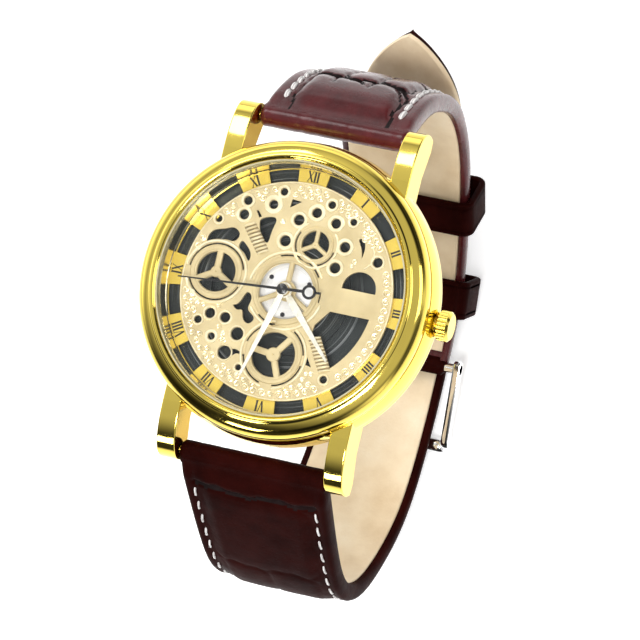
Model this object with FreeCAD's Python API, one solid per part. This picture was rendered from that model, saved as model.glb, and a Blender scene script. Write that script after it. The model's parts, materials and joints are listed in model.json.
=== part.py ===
import FreeCAD, Part
import math
import os

from FreeCAD import Vector

# Skeleton wristwatch with a quartz movement, buckled into a closed loop.
# Origin: centre of the case back's outer face.  +Z leaves through the crystal, +X points to
# 3 o'clock (the crown) and +Y to 12 o'clock.  Millimetres.

# ---- driving dimensions -------------------------------------------------------------------
CASE_R = 20.2              # widest radius of the middle case
BACK_R = 17.4              # case back
BEZEL_R = 19.7             # bezel, outside
BEZEL_BORE_R = 16.9        # bezel, inside
MOVEMENT_BORE_R = 16.6     # bore of the middle case round the movement ring
DIAL_SEAT_R = 17.1         # counterbore that the hour ring drops into
CASE_BASE_Z = 0.35         # underside of the middle case; the back stands this far proud
BACK_SEAT_Z = 0.8          # shoulder that the case back stops on
HOUR_RING_Z = 4.9          # underside of the hour ring
DIAL_Z = 5.2               # underside of the skeleton dial
DIAL_T = 0.4               # skeleton dial thickness
BEZEL_Z = 5.9              # joint between middle case and bezel
BEZEL_TOP_Z = 8.8
CRYSTAL_Z = 7.9            # underside of the crystal
CRYSTAL_T = 1.1
CRYSTAL_R = 16.7
DIAL_R = 14.5

LUG_INNER_X = 10.4         # half of the gap between a pair of lugs
LUG_OUTER_X = 13.0
BAR_Y = 22.9               # spring bars, from the case centre
BAR_Z = 1.0
BAR_TUBE_R = 0.75
BAR_PIN_R = 0.4
BAR_HOLE_R = 0.45

MOVEMENT_R = 8.2           # main plate of the quartz movement
PLATE_Z0 = 3.2
PLATE_Z1 = 3.6
BRIDGE_Z0 = 1.0
BRIDGE_Z1 = 1.3
STEM_Z = 2.7
STEM_R = 0.45
PIVOT_R = 0.1              # thin ends of the train arbors
PIVOT_HOLE_R = 0.13

STRAP_WIDTH_LUG = 20.4
STRAP_WIDTH_TAIL = 15.0
LINING_T = 0.8             # beige lining leather under the padded outer leather
LINING_MARGIN = 1.0        # outer leather turned round the edge on each side of the lining
LINING_MARGIN_TAIL = 0.3   # the tail past the buckle is cut flush, with a thin edge
GLUE_LINE = 0.05
LUG_ROLL_R = 1.5           # strap end rolled round the spring bar
ROLL_BORE_R = 0.8

# Gear train: tooth counts and the distances between arbors.
MOTION_DISTANCE = 2.4      # cannon pinion to minute wheel, minute pinion to hour wheel
THIRD_DISTANCE = 3.4       # centre of the movement to the third wheel
INTERMEDIATE_DISTANCE = 2.4
ROTOR_DISTANCE = 2.1
SETTING_DISTANCE = 2.8
CANNON_TEETH, MINUTE_WHEEL_TEETH = 12, 36
MINUTE_PINION_TEETH, HOUR_WHEEL_TEETH = 10, 40
CENTRE_WHEEL_TEETH, THIRD_PINION_TEETH = 64, 8
THIRD_WHEEL_TEETH, SECONDS_PINION_TEETH = 60, 8
SECONDS_WHEEL_TEETH, INTERMEDIATE_PINION_TEETH = 40, 8
INTERMEDIATE_WHEEL_TEETH, ROTOR_PINION_TEETH = 36, 6
SETTING_WHEEL_TEETH = 20

# Time shown: 4:32:44.  Clock angles run clockwise from 12.
HOUR_HAND_CLOCK = 136.0
MINUTE_HAND_CLOCK = 194.6
SECOND_HAND_CLOCK = 265.6

Z_AXIS = Vector(0, 0, 1)
X_AXIS = Vector(1, 0, 0)
Y_AXIS = Vector(0, 1, 0)
ORIGIN = Vector(0, 0, 0)


# ---- small geometry helpers ---------------------------------------------------------------
def polar(radius, degrees, centre=(0.0, 0.0)):
    """Point at a radius and an angle counted anticlockwise from +X."""
    angle = math.radians(degrees)
    return (centre[0] + radius * math.cos(angle), centre[1] + radius * math.sin(angle))


def disc(radius, z0, z1, centre=(0.0, 0.0)):
    return Part.makeCylinder(radius, z1 - z0, Vector(centre[0], centre[1], z0))


def ring(outer, inner, z0, z1, centre=(0.0, 0.0)):
    return disc(outer, z0, z1, centre).cut(disc(inner, z0 - 1, z1 + 1, centre))


def rod_x(radius, x0, x1, y, z):
    return Part.makeCylinder(radius, x1 - x0, Vector(x0, y, z), X_AXIS)


def block(x0, x1, y0, y1, z0, z1):
    return Part.makeBox(x1 - x0, y1 - y0, z1 - z0, Vector(x0, y0, z0))


def face_prism(wire, z0, z1):
    """Extrude a flat closed wire that was drawn at z0."""
    return Part.Face(wire).extrude(Vector(0, 0, z1 - z0))


def polygon(points, z0, z1):
    corners = [Vector(x, y, z0) for x, y in points]
    return face_prism(Part.makePolygon(corners + corners[:1]), z0, z1)


def smooth_outline(points, z0, z1):
    """Prism whose outline is one closed smooth curve through the points."""
    curve = Part.BSplineCurve()
    curve.interpolate([Vector(x, y, z0) for x, y in points], PeriodicFlag=True)
    return face_prism(Part.Wire([curve.toShape()]), z0, z1)


def arc_slot(radius, width, start, end, z0, z1, centre=(0.0, 0.0)):
    """Slot along an arc about a centre, from one angle to another, anticlockwise."""
    inner, outer = radius - width / 2, radius + width / 2
    middle = (start + end) / 2

    def at(r, degrees):
        x, y = polar(r, degrees, centre)
        return Vector(x, y, z0)

    edges = [
        Part.Arc(at(inner, start), at(inner, middle), at(inner, end)).toShape(),
        Part.LineSegment(at(inner, end), at(outer, end)).toShape(),
        Part.Arc(at(outer, end), at(outer, middle), at(outer, start)).toShape(),
        Part.LineSegment(at(outer, start), at(inner, start)).toShape(),
    ]
    return face_prism(Part.Wire(edges), z0, z1)


def bar_between(a, b, width, z0, z1):
    """Straight bar of a width between two points, with round ends."""
    length = math.hypot(b[0] - a[0], b[1] - a[1])
    angle = math.degrees(math.atan2(b[1] - a[1], b[0] - a[0]))
    bar = block(0, length, -width / 2, width / 2, z0, z1)
    bar.rotate(ORIGIN, Z_AXIS, angle)
    bar.translate(Vector(a[0], a[1], 0))
    ends = [disc(width / 2, z0, z1, a), disc(width / 2, z0, z1, b)]
    return bar.fuse(ends).removeSplitter()


def turned(profile):
    """Solid of revolution about Z.  The profile is a list of (radius, z) points; a point given
    as a pair of points (via, end) is reached by an arc through via."""
    edges = []
    last = first = Vector(profile[0][0], 0, profile[0][1])
    for step in profile[1:]:
        if isinstance(step[0], tuple):
            via = Vector(step[0][0], 0, step[0][1])
            end = Vector(step[1][0], 0, step[1][1])
            edges.append(Part.Arc(last, via, end).toShape())
        else:
            end = Vector(step[0], 0, step[1])
            edges.append(Part.LineSegment(last, end).toShape())
        last = end
    edges.append(Part.LineSegment(last, first).toShape())
    return Part.Face(Part.Wire(edges)).revolve(ORIGIN, Z_AXIS, 360)


def joined(solids):
    return solids[0].fuse(solids[1:]).removeSplitter()


# ---- gears --------------------------------------------------------------------------------
def gear(teeth, module, z0, z1, phase, bore=0.0):
    """Spur gear about Z with straight-flanked teeth; one tooth's middle is at the phase angle."""
    pitch_r = module * teeth / 2
    tip_r = pitch_r + 0.85 * module
    root_r = pitch_r - 1.2 * module
    half_tooth = 90.0 / teeth
    corners = []
    for tooth in range(teeth):
        middle = phase + tooth * 360.0 / teeth
        corners.append(polar(root_r, middle - 1.15 * half_tooth))
        corners.append(polar(tip_r, middle - 0.42 * half_tooth))
        corners.append(polar(tip_r, middle + 0.42 * half_tooth))
        corners.append(polar(root_r, middle + 1.15 * half_tooth))
    body = polygon(corners, z0, z1)
    if bore > 0:
        body = body.cut(disc(bore, z0 - 1, z1 + 1))
    return body


def meshing_phase(teeth_a, phase_a, teeth_b, direction):
    """Phase that puts gear b in mesh with gear a, when b lies in a direction from a."""
    tooth_a = (direction - phase_a) * teeth_a / 360.0
    return direction + 180.0 - (0.5 - tooth_a) * 360.0 / teeth_b


def gear_module(distance, teeth_a, teeth_b):
    return 2.0 * distance / (teeth_a + teeth_b)


def spoked_wheel(teeth, module, z0, z1, phase, hub_r, bore=0.0):
    """Gear with four open windows between its spokes."""
    wheel = gear(teeth, module, z0, z1, phase, bore)
    window_r = module * teeth / 2 - 4.0 * module
    opening = ring(window_r, hub_r, z0 - 1, z1 + 1)
    cross = [
        block(-window_r, window_r, -2 * module, 2 * module, z0 - 2, z1 + 2),
        block(-2 * module, 2 * module, -window_r, window_r, z0 - 2, z1 + 2),
    ]
    return wheel.cut(opening.cut(cross))


THIRD_DIRECTION = 90.0
INTERMEDIATE_DIRECTION = 300.0
ROTOR_DIRECTION = 330.0
THIRD_AT = polar(THIRD_DISTANCE, THIRD_DIRECTION)
INTERMEDIATE_AT = polar(INTERMEDIATE_DISTANCE, INTERMEDIATE_DIRECTION)
ROTOR_AT = polar(ROTOR_DISTANCE, ROTOR_DIRECTION, INTERMEDIATE_AT)
MINUTE_DIRECTION = 330.0
MINUTE_WHEEL_AT = polar(MOTION_DISTANCE, MINUTE_DIRECTION)
# the setting wheel lies over the stem, so its arbor is at Y = 0
SETTING_DIRECTION = math.degrees(math.asin(-MINUTE_WHEEL_AT[1] / SETTING_DISTANCE))
SETTING_WHEEL_AT = polar(SETTING_DISTANCE, SETTING_DIRECTION, MINUTE_WHEEL_AT)

MODULE_MOTION = gear_module(MOTION_DISTANCE, CANNON_TEETH, MINUTE_WHEEL_TEETH)
MODULE_HOUR = gear_module(MOTION_DISTANCE, MINUTE_PINION_TEETH, HOUR_WHEEL_TEETH)
MODULE_CENTRE = gear_module(THIRD_DISTANCE, CENTRE_WHEEL_TEETH, THIRD_PINION_TEETH)
MODULE_THIRD = gear_module(THIRD_DISTANCE, THIRD_WHEEL_TEETH, SECONDS_PINION_TEETH)
MODULE_SECONDS = gear_module(INTERMEDIATE_DISTANCE, SECONDS_WHEEL_TEETH, INTERMEDIATE_PINION_TEETH)
MODULE_ROTOR = gear_module(ROTOR_DISTANCE, INTERMEDIATE_WHEEL_TEETH, ROTOR_PINION_TEETH)

# Levels of the meshing planes, (underside, top).
ROTOR_PLANE = (1.62, 1.78)
SECONDS_PLANE = (1.98, 2.14)
THIRD_PLANE = (2.38, 2.54)
CENTRE_PLANE = (2.86, 3.04)
MOTION_PLANE = (3.75, 3.95)
HOUR_PLANE = (4.05, 4.2)
COVER_PLANE = (4.4, 4.55)
HOUR_HAND_PLANE = (6.1, 6.3)
MINUTE_HAND_PLANE = (6.7, 6.88)
SECOND_HAND_PLANE = (7.3, 7.44)

SECONDS_STAFF_R = 0.14
CANNON_BORE_R = 0.19
CANNON_R = 0.42
HOUR_BORE_R = 0.48
HOUR_TUBE_R = 0.75


def placed(shape, at):
    shape.translate(Vector(at[0], at[1], 0))
    return shape


def rotor():
    """Permanent-magnet rotor of the stepping motor with its six-leaf pinion."""
    phase = meshing_phase(
        INTERMEDIATE_WHEEL_TEETH, 0.0, ROTOR_PINION_TEETH, ROTOR_DIRECTION
    )
    solids = [
        gear(ROTOR_PINION_TEETH, MODULE_ROTOR, *ROTOR_PLANE, phase),
        disc(0.18, ROTOR_PLANE[1], 1.95),
        disc(0.6, 1.95, 2.45),
        disc(PIVOT_R, BRIDGE_Z0 + 0.05, ROTOR_PLANE[0]),
        disc(PIVOT_R, 2.45, PLATE_Z1 - 0.1),
    ]
    return placed(joined(solids), ROTOR_AT)


def intermediate_wheel():
    phase = meshing_phase(
        SECONDS_WHEEL_TEETH, 0.0, INTERMEDIATE_PINION_TEETH, INTERMEDIATE_DIRECTION
    )
    solids = [
        spoked_wheel(INTERMEDIATE_WHEEL_TEETH, MODULE_ROTOR, *ROTOR_PLANE, 0.0, 0.5),
        disc(0.25, ROTOR_PLANE[1], SECONDS_PLANE[0]),
        gear(INTERMEDIATE_PINION_TEETH, MODULE_SECONDS, *SECONDS_PLANE, phase),
        disc(PIVOT_R, BRIDGE_Z0 + 0.05, ROTOR_PLANE[0]),
        disc(PIVOT_R, SECONDS_PLANE[1], 2.75),
    ]
    return placed(joined(solids), INTERMEDIATE_AT)


def seconds_wheel():
    """Seconds wheel and pinion on the long staff that carries the second hand."""
    solids = [
        spoked_wheel(SECONDS_WHEEL_TEETH, MODULE_SECONDS, *SECONDS_PLANE, 0.0, 0.5),
        disc(0.25, SECONDS_PLANE[1], THIRD_PLANE[0]),
        gear(SECONDS_PINION_TEETH, MODULE_THIRD, *THIRD_PLANE, 0.0),
        disc(SECONDS_STAFF_R, THIRD_PLANE[1], SECOND_HAND_PLANE[0]),
        disc(PIVOT_R, BRIDGE_Z0 + 0.05, SECONDS_PLANE[0]),
    ]
    return joined(solids)


def third_wheel():
    wheel_phase = meshing_phase(
        SECONDS_PINION_TEETH, 0.0, THIRD_WHEEL_TEETH, THIRD_DIRECTION
    )
    pinion_phase = meshing_phase(
        CENTRE_WHEEL_TEETH, 0.0, THIRD_PINION_TEETH, THIRD_DIRECTION
    )
    solids = [
        spoked_wheel(THIRD_WHEEL_TEETH, MODULE_THIRD, *THIRD_PLANE, wheel_phase, 0.6),
        disc(0.25, THIRD_PLANE[1], CENTRE_PLANE[0]),
        gear(THIRD_PINION_TEETH, MODULE_CENTRE, *CENTRE_PLANE, pinion_phase),
        disc(PIVOT_R, BRIDGE_Z0 + 0.05, THIRD_PLANE[0]),
        disc(PIVOT_R, CENTRE_PLANE[1], PLATE_Z1 - 0.1),
    ]
    return placed(joined(solids), THIRD_AT)


def centre_wheel():
    """Wheel that carries the cannon pinion round once an hour."""
    return spoked_wheel(
        CENTRE_WHEEL_TEETH, MODULE_CENTRE, *CENTRE_PLANE, 0.0, 0.9, bore=CANNON_R
    )


def cannon_pinion():
    tube = ring(CANNON_R, CANNON_BORE_R, CENTRE_PLANE[0], MINUTE_HAND_PLANE[1])
    leaves = gear(CANNON_TEETH, MODULE_MOTION, *MOTION_PLANE, 0.0, bore=CANNON_BORE_R)
    return joined([tube, leaves])


MINUTE_WHEEL_PHASE = meshing_phase(CANNON_TEETH, 0.0, MINUTE_WHEEL_TEETH, MINUTE_DIRECTION)


def minute_wheel():
    pinion_phase = meshing_phase(HOUR_WHEEL_TEETH, 0.0, MINUTE_PINION_TEETH, MINUTE_DIRECTION)
    solids = [
        gear(MINUTE_WHEEL_TEETH, MODULE_MOTION, *MOTION_PLANE, MINUTE_WHEEL_PHASE),
        gear(MINUTE_PINION_TEETH, MODULE_HOUR, MOTION_PLANE[1], HOUR_PLANE[1], pinion_phase),
        disc(PIVOT_R, PLATE_Z0 + 0.05, MOTION_PLANE[0]),
    ]
    return placed(joined(solids), MINUTE_WHEEL_AT)


def hour_wheel():
    solids = [
        gear(HOUR_WHEEL_TEETH, MODULE_HOUR, *HOUR_PLANE, 0.0, bore=HOUR_BORE_R),
        ring(HOUR_TUBE_R, HOUR_BORE_R, HOUR_PLANE[0], HOUR_HAND_PLANE[1]),
    ]
    return joined(solids)


def setting_wheel():
    phase = meshing_phase(
        MINUTE_WHEEL_TEETH, MINUTE_WHEEL_PHASE, SETTING_WHEEL_TEETH, SETTING_DIRECTION
    )
    solids = [
        gear(SETTING_WHEEL_TEETH, MODULE_MOTION, *MOTION_PLANE, phase),
        disc(0.2, PLATE_Z0 + 0.1, MOTION_PLANE[0]),
    ]
    return placed(joined(solids), SETTING_WHEEL_AT)


# ---- hands --------------------------------------------------------------------------------
def hand(length, hub_r, hub_bore, shoulder_w, tip_w, plane, clock_angle):
    """Slim tapering hand with a round hub, drawn towards 12 and turned to its clock angle."""
    blade = polygon(
        [
            (-shoulder_w * 0.35, 0.0),
            (-shoulder_w / 2, 0.22 * length),
            (-tip_w / 2, 0.985 * length),
            (0.0, length),
            (tip_w / 2, 0.985 * length),
            (shoulder_w / 2, 0.22 * length),
            (shoulder_w * 0.35, 0.0),
        ],
        *plane,
    )
    body = joined([blade, disc(hub_r, *plane)])
    body = body.cut(disc(hub_bore, plane[0] - 1, plane[1] + 1))
    body.rotate(ORIGIN, Z_AXIS, -clock_angle)
    return body


def hour_hand():
    return hand(11.2, 1.05, HOUR_TUBE_R, 1.0, 0.35, HOUR_HAND_PLANE, HOUR_HAND_CLOCK)


def minute_hand():
    return hand(12.7, 0.72, CANNON_R, 0.9, 0.3, MINUTE_HAND_PLANE, MINUTE_HAND_CLOCK)


def second_hand():
    """Thin hand with an open ring on its counterweight end."""
    z0, z1 = SECOND_HAND_PLANE
    ring_y = -3.7
    needle = polygon([(-0.14, -2.8), (-0.07, 14.4), (0.07, 14.4), (0.14, -2.8)], z0, z1)
    solids = [
        needle,
        disc(0.55, z0, z1 + 0.16),
        ring(0.95, 0.62, z0, z1, (0.0, ring_y)),
    ]
    body = joined(solids)
    body.rotate(ORIGIN, Z_AXIS, -SECOND_HAND_CLOCK)
    return body


# ---- movement -----------------------------------------------------------------------------
BRIDGE_PILLARS = [(3.5, 5.2), (-3.4, 5.6), (-0.6, -4.6)]
PILLAR_R = 0.6
SCREW_SHANK_R = 0.25
BATTERY_AT = polar(5.15, 205.0)
BATTERY_R = 2.9
BATTERY_Z = (1.0, 2.65)
COVER_SCREW_R = 3.05
COVER_SCREW_ANGLES = (30.0, 150.0, 270.0)
COVER_POST_R = 0.35
LEVER_PIVOT = (7.0, 3.0)
YOKE_PIVOT = (4.7, 3.2)


def main_plate():
    z0, z1 = PLATE_Z0, PLATE_Z1
    plate = disc(MOVEMENT_R, z0, z1)
    pillars = [disc(PILLAR_R, BRIDGE_Z1, z0, at) for at in BRIDGE_PILLARS]
    cover_posts = []
    for angle in COVER_SCREW_ANGLES:
        cover_posts.append(disc(COVER_POST_R, z1, COVER_PLANE[0], polar(COVER_SCREW_R, angle)))
    lever_posts = [
        disc(0.28, 2.35, z0, LEVER_PIVOT),
        disc(0.28, 2.35, z0, YOKE_PIVOT),
    ]
    body = joined([plate] + pillars + cover_posts + lever_posts)
    holes = [disc(CANNON_R + 0.06, z0 - 1, z1 + 1)]
    for at in (THIRD_AT, ROTOR_AT, MINUTE_WHEEL_AT):
        holes.append(disc(PIVOT_HOLE_R, z0 - 1, z1 + 1, at))
    holes.append(disc(0.24, z0 - 1, z1 + 1, SETTING_WHEEL_AT))
    for at in BRIDGE_PILLARS:
        holes.append(disc(SCREW_SHANK_R, BRIDGE_Z1 - 0.5, 2.3, at))
    for angle in COVER_SCREW_ANGLES:
        holes.append(disc(0.16, z1 + 0.1, COVER_PLANE[1], polar(COVER_SCREW_R, angle)))
    return body.cut(holes)


def train_bridge():
    """Flat bridge whose arms meet over the train and end on the three pillars."""
    z0, z1 = BRIDGE_Z0, BRIDGE_Z1
    arms = [disc(1.3, z0, z1)]
    for at in BRIDGE_PILLARS + [THIRD_AT, INTERMEDIATE_AT]:
        arms.append(bar_between((0.0, 0.0), at, 1.5, z0, z1))
    arms.append(bar_between(INTERMEDIATE_AT, ROTOR_AT, 1.3, z0, z1))
    holes = [disc(PIVOT_HOLE_R, z0 - 1, z1 + 1)]
    for at in (THIRD_AT, INTERMEDIATE_AT, ROTOR_AT):
        holes.append(disc(PIVOT_HOLE_R, z0 - 1, z1 + 1, at))
    for at in BRIDGE_PILLARS:
        holes.append(disc(SCREW_SHANK_R, z0 - 1, z1 + 1, at))
    return joined(arms).cut(holes)


def slotted_screw(head_r, head_z0, head_z1, shank_r, shank_z0, shank_z1, slot_high, at):
    """Cheese-head screw along Z; the slot is cut in the upper or the lower face of the head."""
    body = joined([disc(head_r, head_z0, head_z1), disc(shank_r, shank_z0, shank_z1)])
    depth = 0.35 * (head_z1 - head_z0)
    slot_z = head_z1 - depth if slot_high else head_z0
    slot = block(-head_r - 1, head_r + 1, -0.05, 0.05, slot_z, slot_z + depth)
    return placed(body.cut(slot), at)


def bridge_screws():
    solids = []
    for at in BRIDGE_PILLARS:
        solids.append(slotted_screw(0.42, 0.86, BRIDGE_Z0, 0.24, BRIDGE_Z0, 2.2, False, at))
    return Part.makeCompound(solids)


def motion_cover():
    """Bright disc that holds the motion work down, seen through the middle of the dial."""
    body = disc(4.4, *COVER_PLANE)
    holes = [disc(HOUR_TUBE_R + 0.07, 4, 5)]
    for angle in COVER_SCREW_ANGLES:
        holes.append(disc(0.16, 4, 5, polar(COVER_SCREW_R, angle)))
    return body.cut(holes)


def motion_cover_screws():
    solids = []
    z = COVER_PLANE[1]
    for angle in COVER_SCREW_ANGLES:
        at = polar(COVER_SCREW_R, angle)
        solids.append(slotted_screw(0.3, z, z + 0.16, 0.15, PLATE_Z1 + 0.2, z, True, at))
    return Part.makeCompound(solids)


def battery():
    z0, z1 = BATTERY_Z
    cell = [
        disc(BATTERY_R, z0 + 0.25, z1, BATTERY_AT),
        disc(BATTERY_R - 0.35, z0, z0 + 0.25, BATTERY_AT),
    ]
    return joined(cell)


def battery_clamp():
    """Thin spring strip under the main plate that bears on the top of the cell."""
    z0, z1 = BATTERY_Z[1] + 0.02, BATTERY_Z[1] + 0.14
    end = polar(BATTERY_R + 1.0, 100.0, BATTERY_AT)
    middle = polar(1.2, 100.0, BATTERY_AT)
    strip = bar_between(middle, end, 1.2, z0, z1)
    foot = disc(0.35, z1, PLATE_Z0, end)
    return joined([strip, foot])


def circuit_board():
    outline = [(-6.9, 2.7), (-3.6, 2.7), (-3.5, 4.4), (-4.6, 6.4)]
    return polygon(outline, 2.0, 2.2)


def quartz_crystal():
    """Small metal can of the 32 kHz quartz, with its two leads on the board."""
    return Part.makeCylinder(0.45, 2.6, Vector(-6.9, 3.1, 1.5), Vector(1, 0.4, 0))


def drive_coil():
    """Winding, as one sleeve on the stator's core."""
    y, z = -6.2, 2.2
    core_space = block(-2, 4, y - 0.4, y + 0.4, z - 0.12, z + 0.12)
    return rod_x(0.72, -1.7, 3.3, y, z).cut(core_space)


def stator():
    """Soft-iron plate: one arm is the coil's core, the other rings the rotor."""
    z0, z1 = 2.1, 2.3
    y = -6.2
    plate = joined(
        [
            block(-2.6, 4.2, y - 0.38, y + 0.38, z0, z1),
            bar_between((4.1, y), (4.3, -4.4), 0.9, z0, z1),
            bar_between((4.3, -4.4), ROTOR_AT, 1.0, z0, z1),
            disc(1.3, z0, z1, ROTOR_AT),
            bar_between((-2.4, y), (-2.4, -5.3), 0.8, z0, z1),
        ]
    )
    return plate.cut(disc(0.85, z0 - 1, z1 + 1, ROTOR_AT))


def movement_ring():
    """Ring that fills the space between movement and case; its top is stepped."""
    profile = [
        (MOVEMENT_R + 0.05, 1.45),
        (16.5, 1.45),
        (16.5, 4.25),
        (10.65, 4.25),
        (10.65, 3.5),
        (MOVEMENT_R + 0.05, 3.5),
    ]
    return turned(profile).cut(rod_x(0.6, 5, 20, 0, STEM_Z))


# ---- keyless works ------------------------------------------------------------------------
CROWN_X0 = 20.35
CROWN_X1 = 22.15
CROWN_R = 2.0
FLUTES = 24
LEVER_GROOVE_X = 7.0
PINION_X = (4.25, 5.15)


def crown():
    """Fluted crown with a recess that slides over the crown tube."""
    body = rod_x(CROWN_R, CROWN_X0, CROWN_X1, 0, STEM_Z)
    rims = [edge for edge in body.Edges if edge.Length > 2 * CROWN_R * 3]
    body = body.makeChamfer(0.3, rims)
    flutes = []
    for i in range(FLUTES):
        y, z = polar(CROWN_R + 0.1, i * 360.0 / FLUTES, (0.0, STEM_Z))
        flutes.append(rod_x(0.2, CROWN_X0 - 1, CROWN_X1 - 0.35, y, z))
    recess = rod_x(1.15, CROWN_X0 - 1, CROWN_X0 + 1.3, 0, STEM_Z)
    return body.cut(flutes + [recess])


def stem():
    solids = [
        rod_x(0.2, 3.45, 5.5, 0, STEM_Z),
        rod_x(STEM_R, 5.5, LEVER_GROOVE_X - 0.45, 0, STEM_Z),
        rod_x(0.22, LEVER_GROOVE_X - 0.45, LEVER_GROOVE_X + 0.45, 0, STEM_Z),
        rod_x(STEM_R, LEVER_GROOVE_X + 0.45, CROWN_X0 + 1.3, 0, STEM_Z),
    ]
    return joined(solids)


def crown_tube():
    tube = rod_x(1.05, 17.5, CROWN_X0 + 1.1, 0, STEM_Z)
    bore = rod_x(0.55, 17, CROWN_X0 + 2, 0, STEM_Z)
    return tube.cut([bore, rod_x(0.82, CROWN_X0 - 0.6, CROWN_X0 + 2, 0, STEM_Z)])


def crown_gasket():
    """O-ring on the stem inside the crown tube."""
    return Part.makeTorus(0.64, 0.15, Vector(CROWN_X0 - 0.3, 0, STEM_Z), X_AXIS)


def sliding_pinion():
    x0, x1 = PINION_X
    middle = (x0 + x1) / 2
    solids = [
        rod_x(0.47, x0, middle - 0.2, 0, STEM_Z),
        rod_x(0.33, middle - 0.2, middle + 0.2, 0, STEM_Z),
        rod_x(0.47, middle + 0.2, x1, 0, STEM_Z),
    ]
    return joined(solids).cut(rod_x(0.24, x0 - 1, x1 + 1, 0, STEM_Z))


def lever(pivot, tip_y, width):
    """Flat lever hanging from its post, with a narrow finger that enters a groove."""
    z0, z1 = STEM_Z - 0.08, STEM_Z + 0.08
    arm = bar_between(pivot, (pivot[0], tip_y + 1.0), width, z0, z1)
    finger = bar_between((pivot[0], tip_y + 1.0), (pivot[0], tip_y + 0.12), 0.24, z0, z1)
    boss = disc(0.55, z0, z1, pivot)
    return joined([arm, finger, boss]).cut(disc(0.33, z0 - 1, z1 + 1, pivot))


def setting_lever():
    return lever(LEVER_PIVOT, 0.3, 0.6)


def yoke():
    return lever(YOKE_PIVOT, 0.38, 0.5)


# ---- case ---------------------------------------------------------------------------------
def lug(x_sign, y_sign):
    """One straight lug: a flat horn that bends down from the case to a rounded tip."""
    x0 = LUG_INNER_X
    foot = [(24.0, -0.6), (22.4, -0.8), (18.6, 0.6), (13.0, 0.6), (13.0, 5.7), (17.2, 5.7)]
    back = [
        (17.2, 5.7), (19.2, 5.55), (21.2, 5.05), (22.8, 4.25), (23.8, 3.2), (24.25, 1.9),
        (24.3, 0.6), (24.0, -0.6),
    ]
    curve = Part.BSplineCurve()
    curve.interpolate([Vector(x0, y, z) for y, z in back])
    corners = [Vector(x0, y, z) for y, z in foot]
    outline = Part.Wire([curve.toShape()] + Part.makePolygon(corners).Edges)
    horn = Part.Face(outline).extrude(Vector(LUG_OUTER_X - LUG_INNER_X, 0, 0))
    # ease the two long upper edges
    long_edges = [e for e in horn.Edges if e.BoundBox.XLength < 0.01 and e.BoundBox.YLength > 6.0]
    horn = horn.makeFillet(0.18, long_edges)
    if x_sign < 0:
        horn = horn.mirror(ORIGIN, X_AXIS)
    if y_sign < 0:
        horn = horn.mirror(ORIGIN, Y_AXIS)
    return horn


def mid_case():
    barrel = turned(
        [
            (MOVEMENT_BORE_R, CASE_BASE_Z),
            (18.3, CASE_BASE_Z),
            ((19.7, 1.15), (CASE_R, 3.0)),
            ((20.08, 4.6), (19.75, BEZEL_Z)),
            (MOVEMENT_BORE_R, BEZEL_Z),
        ]
    )
    horns = [lug(x, y) for x in (1, -1) for y in (1, -1)]
    body = joined([barrel] + horns)
    holes = [
        disc(MOVEMENT_BORE_R, -2, 8),
        disc(BACK_R + 0.04, -2, BACK_SEAT_Z),
        disc(DIAL_SEAT_R, HOUR_RING_Z, 8),
        rod_x(1.05, 15, 22, 0, STEM_Z),
    ]
    for y in (BAR_Y, -BAR_Y):
        for x in (LUG_INNER_X - 0.2, -LUG_INNER_X - 1.4):
            holes.append(rod_x(BAR_HOLE_R, x, x + 1.6, y, BAR_Z))
    return body.cut(holes)


def bezel():
    """Rounded bright ring with a narrow raised lip at the crystal."""
    return turned(
        [
            (BEZEL_BORE_R, BEZEL_Z),
            (BEZEL_R - 0.15, BEZEL_Z),
            (BEZEL_R, BEZEL_Z + 0.2),
            ((19.25, 7.75), (17.75, BEZEL_TOP_Z - 0.12)),
            ((17.3, BEZEL_TOP_Z), (BEZEL_BORE_R, BEZEL_TOP_Z - 0.1)),
        ]
    )


def crystal():
    """Flat glass disc with a bevelled top edge."""
    top = CRYSTAL_Z + CRYSTAL_T
    bevel = 0.25
    blank = disc(CRYSTAL_R, CRYSTAL_Z, top)
    cone = Part.makeCone(CRYSTAL_R, CRYSTAL_R - bevel, bevel, Vector(0, 0, top - bevel))
    return blank.cut(ring(CRYSTAL_R + 1, CRYSTAL_R - bevel, top - bevel, top).cut(cone))


def crystal_gasket():
    return ring(BEZEL_BORE_R, CRYSTAL_R, CRYSTAL_Z, CRYSTAL_Z + 0.72)


def flange_ring():
    """Conical inner wall between the hour ring and the crystal."""
    return turned(
        [
            (16.25, DIAL_Z + 0.02),
            (BEZEL_BORE_R - 0.02, DIAL_Z + 0.02),
            (BEZEL_BORE_R - 0.02, CRYSTAL_Z - 0.02),
            (16.55, CRYSTAL_Z - 0.02),
        ]
    )


def case_back():
    return turned(
        [
            (0.0, 0.0),
            (16.6, 0.0),
            ((17.15, 0.12), (BACK_R, 0.5)),
            (BACK_R, BACK_SEAT_Z),
            (16.2, BACK_SEAT_Z),
            (16.2, 1.4),
            (15.4, 1.4),
            (15.4, BACK_SEAT_Z),
            (0.0, BACK_SEAT_Z),
        ]
    )


def case_back_gasket():
    return ring(16.58, 16.22, BACK_SEAT_Z + 0.02, 1.25)


def hour_ring():
    """Twelve bright blocks standing inward from a ring that hides under the flange."""
    block_width = 15.2
    solids = [ring(DIAL_SEAT_R - 0.05, 16.2, HOUR_RING_Z, DIAL_Z)]
    for hour in range(12):
        middle = 90.0 - 30.0 * hour
        start, end = middle - block_width / 2, middle + block_width / 2
        solids.append(arc_slot(15.1, 2.4, start, end, HOUR_RING_Z, DIAL_Z))
    return joined(solids)


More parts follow.
